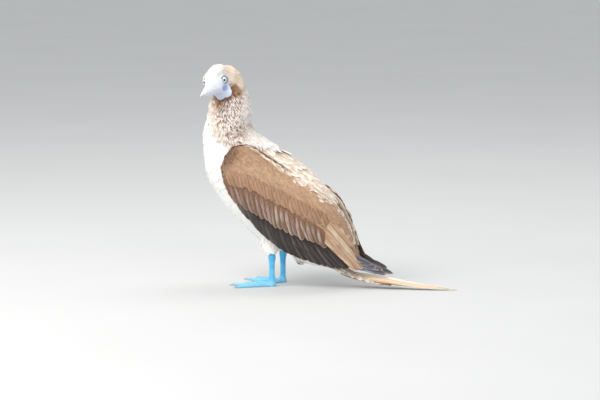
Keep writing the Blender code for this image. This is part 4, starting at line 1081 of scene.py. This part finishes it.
# Tail: twelve long pointed vanes, folded like a low roof with the middle pair longest and on
# top. It leaves the body between the wings' points, bends down and lies along the floor.
tail_rows = [
    (0.118, 0.036, 0.0200, 0.0200), (0.135, 0.0285, 0.0140, 0.0205), (0.155, 0.0215, 0.0100, 0.0205),
    (0.178, 0.0155, 0.0074, 0.0200), (0.205, 0.0100, 0.0054, 0.0190), (0.235, 0.0055, 0.0038, 0.0165),
]
tail_tip_x, tail_floor_x, tail_root_x = 0.362, 0.290, 0.140
tail_lengths = (1.0, 0.93, 0.83, 0.73, 0.63, 0.54)
roof_x = (0.150, 0.200, 0.240, 0.280, 0.320, 0.362)
roof_slope = (0.20, 0.42, 0.45, 0.42, 0.35, 0.20)
roof_half = (0.0175, 0.0215, 0.0220, 0.0180, 0.0120, 0.0040)
tail_curve = curve_rows(tail_rows, 4)
# The tail's looks carry a painted sheen colour too, as the wings' do.
tail_look = {"plume": tint(242, 228, 208), "edge": tint(206, 170, 132), "streak": tint(250, 244, 234), "flat": True}
outer_look = {"plume": tint(196, 156, 118), "edge": tint(150, 104, 70), "streak": tint(226, 204, 176), "flat": True}


def tail_height(x):
    last = tail_curve[-1]
    if x <= last[0]:
        return float(np.interp(x, tail_curve[:, 0], tail_curve[:, 1]))
    share = min(1.0, (x - last[0]) / (tail_floor_x - last[0]))
    return float(last[1] * (1 - share) ** 2)


tail_chance = np.random.default_rng(41)
tail_vanes = []
for pair in reversed(range(6)):
    for out in (-1.0, 1.0):
        length = (tail_tip_x - tail_root_x) * tail_lengths[pair]
        inner = -0.0040 if pair == 0 else 0.0003 + 0.0006 * pair
        outer = 0.0085 + 0.0026 * pair
        middle = (inner + outer) / 2

        def place(x, y, lift):
            layer = 0.0009 if pair == 0 and out > 0 else 0.0
            for below in range(pair + 1, 6):
                end = tail_root_x + (tail_tip_x - tail_root_x) * tail_lengths[below]
                layer += 0.0009 * np.clip((end + 0.04 - x) / 0.04, 0, 1)
            y = y * (1 - 0.45 * ((x - tail_root_x) / length) ** 2)
            roof = np.interp(x, roof_x, roof_slope) * max(0.0, np.interp(x, roof_x, roof_half) - abs(y))
            return np.array((x, out * y, tail_height(x) + layer + roof + 0.0008 + 0.5 * lift))

        look = tail_look if pair < 4 else outer_look
        tail_vanes.append(vane(place, (tail_root_x, middle), (tail_root_x + length, middle),
                               (outer - inner) / 2 * 1.02, (-0.002, 0, 0, 0), 0.0, 0.62, 0.0, look, tail_chance,
                               rows=34))
vanes_piece("tail_quills", tail_vanes, quill, ["tail"])

tail_core_points, tail_core_sides = [], 20
for x, low, thick, half in curve_rows(tail_rows, 4):
    for k in range(tail_core_sides):
        angle = 2 * math.pi * k / tail_core_sides
        tail_core_points.append((x, half * 0.84 * math.sin(angle), low + thick * (0.5 - 0.42 * math.cos(angle))))
tail_core_rows = len(tail_core_points) // tail_core_sides


def tube_faces(rows, around):
    """Faces of a closed tube of rings, with a flat cap at each end."""
    faces = []
    for row in range(rows - 1):
        for k in range(around):
            a, b = row * around + k, row * around + (k + 1) % around
            faces.append((a, b, b + around, a + around))
    return faces + [tuple(range(around)), tuple(range((rows - 1) * around, rows * around))[::-1]]


tail_core = piece("tail_coverts_core", tail_core_points, tube_faces(tail_core_rows, tail_core_sides),
                  plumage)
outward(tail_core)
core_places = coordinates(tail_core.data) - np.array(home)
core_top = smooth(-0.2, 0.4, coordinates(tail_core.data, "normal")[:, 2])[:, None]
set_attribute(tail_core.data, "plume", np.array(white) * (1 - core_top) + np.array(tint(214, 190, 160)) * core_top)
set_attribute(tail_core.data, "under", np.tile(tint(190, 170, 150), (len(core_places), 1)))
set_attribute(tail_core.data, "fringe", core_top[:, 0], "FLOAT")
set_attribute(tail_core.data, "flow", np.tile((0.94, 0.0, -0.34), (len(core_places), 1)))
unwrap(tail_core)
grow("tail_coverts", tail_core, (core_places[:, 0] > 0.122) & (core_places[:, 0] < 0.212), np.full(len(core_places), 0.8), plumage, "tail_feathers",
     Blade=soft_blade, Spacing=0.0036, Length=0.0200, Width=0.0090, Rise=0.02, Stray=0.08, Seed=42)

# Bill: a long straight cone of blue-grey horn in two halves that meet in a fine line. The line
# runs back under the eyes. Boobies have no nostrils on the outside.
bill_base = 0.018
bill_tilt = math.radians(2.2)      # how far its point hangs below the solid's
bill_rows = [
    (0.012, 0.0118, -0.0128, -0.0256, 0.0160), (bill_base, 0.0112, -0.0128, -0.0252, 0.0158),
    (0.030, 0.0062, -0.0128, -0.0236, 0.0130), (0.044, 0.0026, -0.0127, -0.0216, 0.0103),
    (0.060, -0.0006, -0.0126, -0.0196, 0.0080), (0.078, -0.0036, -0.0125, -0.0177, 0.0059),
    (0.094, -0.0062, -0.0126, -0.0161, 0.0043), (0.106, -0.0086, -0.0130, -0.0153, 0.0031),
    (0.114, -0.0110, -0.0138, -0.0150, 0.0019), (0.1175, -0.0132, -0.0145, -0.0150, 0.0008),
]
bill_place = (head_place @ Matrix.Translation((bill_base, 0, 0)) @ Matrix.Rotation(bill_tilt, 4, "Y")
              @ Matrix.Translation((-bill_base, 0, 0)))
bill_finish = Finish("bill_horn", Specular_IOR_Level=0.5, Coat_Weight=0.15, Coat_Roughness=0.3)
start = bill_finish.start
object_place = start.node("ShaderNodeTexCoord", output="Object")
own = np.array(bill_place.inverted() @ Matrix.Translation(-home))
own_turn = Matrix(own[:3, :3].tolist()).to_euler("XYZ")
on_bill = start.node("ShaderNodeMapping", {}, {
    "Vector": object_place, "Rotation": tuple(own_turn), "Location": tuple(own[:3, 3])})
ahead = start.node("ShaderNodeSeparateXYZ", {}, {0: on_bill}, "X")
height = start.node("ShaderNodeSeparateXYZ", {}, {0: on_bill}, "Z")
grain = start.noise(900.0, 4.0, on_bill, (0.12, 1.0, 1.0))
cloud = start.noise(90.0, 3.0, on_bill)
# Painted highlight: the blue-grey horn is near white over its top and length, and bluer only low on its sides.
colour = (ahead + (cloud - 0.5) * 0.02).ramp(0.015, 0.075).mix(tint(244, 247, 253), tint(251, 251, 252))
colour = height.ramp(-0.010, -0.018).mix(colour, tint(220, 229, 249))
colour = (ahead.ramp(0.100, 0.118) * 0.5).mix(colour, tint(150, 152, 158))
colour = colour.scaled(0.90 + 0.2 * grain)
bill_finish.feed("Base Color", colour)
bill_finish.feed("Roughness", 0.34 + 0.2 * grain)
bill_finish.bump(grain * 0.6 + cloud * 0.4, 0.25, 0.0004)
for name, rise in (("bill_upper", 1), ("bill_lower", -1)):
    points = []
    rows = curve_rows(bill_rows, 6)
    around = 28
    for x, top, mouth, bottom, half in rows:
        base = mouth + rise * 0.00018
        tall = rise * max(abs((top if rise > 0 else bottom) - base), 0.0005)
        for k in range(around):
            angle = 2 * math.pi * k / around
            up = math.sin(angle)
            y = half * math.copysign(abs(math.cos(angle)) ** 0.92, math.cos(angle))
            if up >= 0:
                lift = up ** 0.85
                groove = 0.05 * math.exp(-((lift - 0.42) / 0.10) ** 2) if rise > 0 else 0.0
                z = base + tall * lift
                y *= 1 - groove
            else:
                z = base - 0.06 * tall * up
                y *= 0.97
            points.append(tuple(bill_place @ Vector((x, y, z))))
    made = piece(name + "_horn", points, tube_faces(len(rows), around), bill_finish, [name])
    outward(made)

# Eyes: a wet ball with a pale yellow iris round a small black pupil, under a clear bulge. A
# bare blue-grey rim of skin, drawn up in fine folds, lies round each.
lid_forward, iris_forward = math.radians(28), math.radians(50)
lid_radius = 0.0069


def eye_place(out, forward):
    look = Vector((math.sin(forward), out * math.cos(forward), 0))
    at = Vector((eye_out.x, out * eye_out.y, eye_out.z))
    return head_place @ Matrix.Translation(at) @ look.to_track_quat("Z", "Y").to_matrix().to_4x4()


for side, out in (("left", 1.0), ("right", -1.0)):
    place = eye_place(out, iris_forward)
    eye_finish = Finish(f"eye_{side}_wet", Roughness=0.06, Specular_IOR_Level=0.6, Coat_Weight=1.0,
                        Coat_Roughness=0.02)
    start = eye_finish.start
    to_eye = np.array(place.inverted() @ Matrix.Translation(-home))
    turn = Matrix(to_eye[:3, :3].tolist()).to_euler("XYZ")
    spot = start.node("ShaderNodeMapping", {}, {
        "Vector": start.node("ShaderNodeTexCoord", output="Object"),
        "Rotation": tuple(turn), "Location": tuple(to_eye[:3, 3])})
    x, y = (start.node("ShaderNodeSeparateXYZ", {}, {0: spot}, axis) for axis in "XY")
    radius = (x * x + y * y) ** 0.5 * 1000.0
    fibre = start.noise(1.0, 3.0, start.node("ShaderNodeCombineXYZ", {}, {
        "X": start.math("ARCTAN2", y, x) * 9.0, "Y": radius * 0.8}))
    iris = (radius + (fibre - 0.5) * 1.4).ramp(1.9, 4.2).mix(tint(255, 254, 242), tint(250, 245, 214))
    iris = iris.scaled(0.86 + 0.28 * fibre)
    iris = radius.ramp(5.1, 5.9).mix(iris, tint(120, 130, 150))
    eye_finish.feed("Base Color", radius.ramp(2.6, 2.4).mix(iris, tint(6, 6, 8)))
    rings, around = 28, 40
    points = []
    for ring in range(rings + 1):
        angle = math.pi * (ring + 0.35) / (rings + 0.7)
        for k in range(around):
            turn = 2 * math.pi * k / around
            bulge = 1 + 0.055 * math.exp(-(angle / 0.55) ** 2)
            flat = eye_radius * bulge * math.sin(angle)
            points.append(tuple(place @ Vector((flat * math.cos(turn), flat * math.sin(turn),
                                                eye_radius * bulge * math.cos(angle)))))
    made = piece(f"eyeball_{side}", points, tube_faces(rings + 1, around), eye_finish, [f"eye_{side}"])
    outward(made)

    place = eye_place(out, lid_forward)
    rim_points, rim_around, rim_turns = [], 14, 64
    rim_height = math.sqrt(eye_radius ** 2 - lid_radius ** 2)
    for k in range(rim_turns):
        around_eye = 2 * math.pi * k / rim_turns
        fold = 1 + 0.10 * math.sin(11 * around_eye) + 0.06 * math.sin(23 * around_eye + 1)
        lid_size = 0.00110 * fold * (1.15 if math.sin(around_eye) > 0 else 0.95)
        for j in range(rim_around):
            about = 2 * math.pi * j / rim_around
            reach = lid_radius * 0.985 + lid_size * math.cos(about) * (1.9 if math.cos(about) > 0 else 1.0)
            up = rim_height + lid_size * math.sin(about) - 0.0006 * max(0.0, math.cos(about))
            rim_points.append(tuple(place @ Vector((reach * math.cos(around_eye),
                                                    reach * math.sin(around_eye), up))))
    rim_faces = []
    for row in range(rim_turns):
        for k in range(rim_around):
            a, b = row * rim_around + k, row * rim_around + (k + 1) % rim_around
            total = rim_turns * rim_around
            rim_faces.append((a, b, (b + rim_around) % total, (a + rim_around) % total))
    if side == "left":
        lid_finish = Finish("eyelid_skin", Specular_IOR_Level=0.4)
        crease = lid_finish.start.noise(1400.0, 3.0)
        lid_finish.feed("Base Color", crease.ramp(0.3, 0.7).mix(tint(124, 144, 178), tint(168, 186, 214)))
        lid_finish.feed("Roughness", 0.4 + 0.25 * crease)
        lid_finish.bump(crease, 0.5, 0.0003)
    made = piece(f"eyelid_{side}", rim_points, rim_faces, lid_finish)
    outward(made)

# Legs and feet: bare turquoise skin with rows of small scales on the shank and the toes, and
# a thick web between all four toes. Each leg is one skin, and its claws are set in the toes.
leg_out = 0.029
leg_x = {"left": 0.007, "right": 0.014}
ankle_z, foot_top_z = 0.0575, 0.0098
toes = [
    ("outer", math.radians(33), 0.069, 0.0042), ("middle", math.radians(8), 0.073, 0.0045),
    ("inner", math.radians(-19), 0.055, 0.0042), ("hind", math.radians(-66), 0.025, 0.0034),
]
claw_length = {"outer": 0.008, "middle": 0.010, "inner": 0.008, "hind": 0.007}
shank_rows = [
    (0.0, 0.0, 0.0076, 0.0060), (0.004, 0.0003, 0.0080, 0.0064), (0.0098, 0.0, 0.0067, 0.0053),
    (0.015, 0.0004, 0.0056, 0.0042), (0.024, 0.0006, 0.0053, 0.0038), (0.036, 0.0005, 0.0054, 0.0038),
    (0.046, 0.0003, 0.0058, 0.0043), (0.053, 0.0006, 0.0070, 0.0055), (0.0575, 0.0005, 0.0072, 0.0058),
    (0.0640, 0.0005, 0.0066, 0.0054), (0.0720, 0.0005, 0.0060, 0.0050), (0.0800, 0.0005, 0.0050, 0.0044),
]
foot_finish = Finish("blue_foot_skin", Specular_IOR_Level=0.45, Coat_Weight=0.12, Coat_Roughness=0.35)
start = foot_finish.start
scale_cells = start.node("ShaderNodeTexVoronoi", {"feature": "DISTANCE_TO_EDGE"}, {
    "Vector": start.node("ShaderNodeTexCoord", output="Object"), "Scale": 620.0}, "Distance")
fine_cells = start.node("ShaderNodeTexVoronoi", {"feature": "DISTANCE_TO_EDGE"}, {
    "Vector": start.node("ShaderNodeTexCoord", output="Object"), "Scale": 1500.0}, "Distance")
wash = start.noise(60.0, 3.0)
highlight_height = start.node("ShaderNodeSeparateXYZ", {}, {0: start.node("ShaderNodeTexCoord", output="Object")}, "Z")
colour = wash.ramp(0.32, 0.70).mix(tint(84, 192, 244), tint(120, 216, 250))
# Painted highlight: up to about 20 mm over the floor, the toes, the web and the foot of the shank turn pale cyan.
colour = (highlight_height.ramp(0.020, 0.004) * 0.6).mix(colour, tint(168, 234, 252))
colour = (scale_cells.ramp(0.10, 0.0) * 0.40).mix(colour, tint(40, 132, 206))
foot_finish.feed("Base Color", colour.scaled(0.88 + 0.24 * fine_cells.ramp(0.0, 0.3)))
foot_finish.feed("Roughness", 0.38 + 0.25 * start.noise(800.0))
foot_finish.bump(scale_cells.ramp(0.0, 0.16) * 0.8 + fine_cells.ramp(0.0, 0.25) * 0.2, 0.55, 0.0006)
claw_finish = Finish("claw_horn", Specular_IOR_Level=0.5)
streaks = claw_finish.start.noise(1300.0, 3.0)
claw_finish.feed("Base Color", streaks.ramp(0.3, 0.7).mix(tint(140, 146, 156), tint(196, 204, 212)))
claw_finish.feed("Roughness", 0.3 + 0.25 * streaks)
claw_finish.bump(streaks, 0.3, 0.0002)


def toe_way(out, angle):
    way = Vector((-math.cos(angle), out * math.sin(angle), 0))
    return way, Vector((-way.y, way.x, 0))


def add_tube(form, rings):
    """A closed tube through rings, added to a bmesh."""
    around = len(rings[0])
    verts = [form.verts.new(p) for ring in rings for p in ring]
    for face in tube_faces(len(rings), around):
        form.faces.new([verts[i] for i in face])


for side, out in sides.items():
    root = Vector((leg_x[side], out * leg_out, 0))
    form = bmesh.new()
    rings = []
    for z, ahead, deep, wide in curve_rows(shank_rows, 5):
        ring = []
        for k in range(32):
            angle = 2 * math.pi * k / 32
            plate = 1 + 0.018 * abs(math.sin(z * math.pi / 0.0045)) * max(0.0, -math.cos(angle))
            ring.append((root.x + ahead + deep * plate * math.cos(angle),
                         root.y + wide * plate * math.sin(angle), z))
        rings.append(ring)
    add_tube(form, rings)
    for name, angle, length, half in toes:
        way, square = toe_way(out, angle)
        rings = []
        for row in range(25):
            share = row / 24
            joint = 1 + 0.10 * math.cos(2 * math.pi * 3 * share)
            wide = half * (1 - 0.35 * share) * joint
            tall = (0.0084 - 0.0036 * share) * joint * (1 + 0.02 * math.cos(share * length / 0.0022 * math.pi))
            at = root + way * (length * share)
            ring = []
            for k in range(20):
                turn = 2 * math.pi * k / 20
                up = math.sin(turn)
                lift = tall * (0.30 + 0.70 * up) if up > 0 else tall * 0.30 * (1 - abs(up) ** 0.5)
                ring.append(at + square * wide * math.cos(turn) + Vector((0, 0, max(lift, 0.0))))
            rings.append(ring)
        add_tube(form, rings)
    for (_, angle, length, _), (_, next_angle, next_length, _) in zip(toes, toes[1:]):
        top, bottom = [], []
        across, deep = 18, 22
        for row in range(deep + 1):
            share = 0.06 + 0.94 * row / deep
            for k in range(across + 1):
                t = k / across
                ray, _ = toe_way(out, angle + (next_angle - angle) * t)
                hollow = 1 - 0.62 * t * (1 - t)
                reach = (length + (next_length - length) * t) * 0.95 * hollow * share
                fold = 0.0004 * math.sin(t * math.pi * 5) * math.sin(math.pi * share)
                sag = 0.0016 * (1 - 4 * (t - 0.5) ** 2)
                high = 0.0030 - sag * 0.6 - 0.0009 * share + fold
                spot = root + ray * reach
                top.append((spot.x, spot.y, high))
                bottom.append((spot.x, spot.y, 0.0006))
        count, columns = len(top), across + 1
        verts = [form.verts.new(p) for p in top + bottom]
        faces = grid_faces(deep + 1, columns) + grid_faces(deep + 1, columns, count, True)
        rim = ([k for k in range(columns)] + [r * columns + columns - 1 for r in range(1, deep + 1)]
               + [deep * columns + k for k in range(columns - 2, -1, -1)]
               + [r * columns for r in range(deep - 1, 0, -1)])
        faces += [(a, a + count, b + count, b) for a, b in zip(rim, rim[1:] + rim[:1])]
        for face in faces:
            form.faces.new([verts[i] for i in face])
    bmesh.ops.recalc_face_normals(form, faces=form.faces)
    mesh = bpy.data.meshes.new(f"leg_and_foot_{side}")
    form.to_mesh(mesh)
    form.free()
    mesh.transform(Matrix.Translation(home))
    foot = bpy.data.objects.new(f"leg_and_foot_{side}", mesh)
    bpy.context.scene.collection.objects.link(foot)
    remesh = foot.modifiers.new("one_skin", "REMESH")
    remesh.mode, remesh.voxel_size = "VOXEL", 0.0007
    relax = foot.modifiers.new("relax", "SMOOTH")
    relax.factor, relax.iterations = 0.5, 3
    evaluated(foot)
    lowest = coordinates(foot.data)
    lowest[:, 2] = np.maximum(lowest[:, 2], 0.0)
    foot.data.vertices.foreach_set("co", lowest.ravel())
    unwrap(foot)
    shown(foot, foot_finish, [f"shank_{side}", f"foot_{side}"])
    for name, angle, length, half in toes:
        way, square = toe_way(out, angle)
        points, rings, around = [], 14, 16
        for ring in range(rings):
            share = ring / (rings - 1)
            at = root + way * (length - 0.002 + (claw_length[name] + 0.002) * share)
            high = 0.0031 - 0.0022 * share ** 1.8
            thin = (1 - share) ** 0.6 + 0.03
            for k in range(around):
                turn = 2 * math.pi * k / around
                spot = at + square * (half * 0.46 * thin * math.cos(turn))
                points.append((spot.x, spot.y, max(0.0002, high + 0.0021 * thin * math.sin(turn))))
        made = piece(f"claw_horn_{side}_{name}", points, tube_faces(rings, around), claw_finish,
                     [f"claw_{side}_{name}"])
        outward(made)

# The hidden patterns of the small feathers go.
for thing in [o for o in bpy.data.objects if o.name.endswith("_blade")]:
    bpy.data.objects.remove(thing)
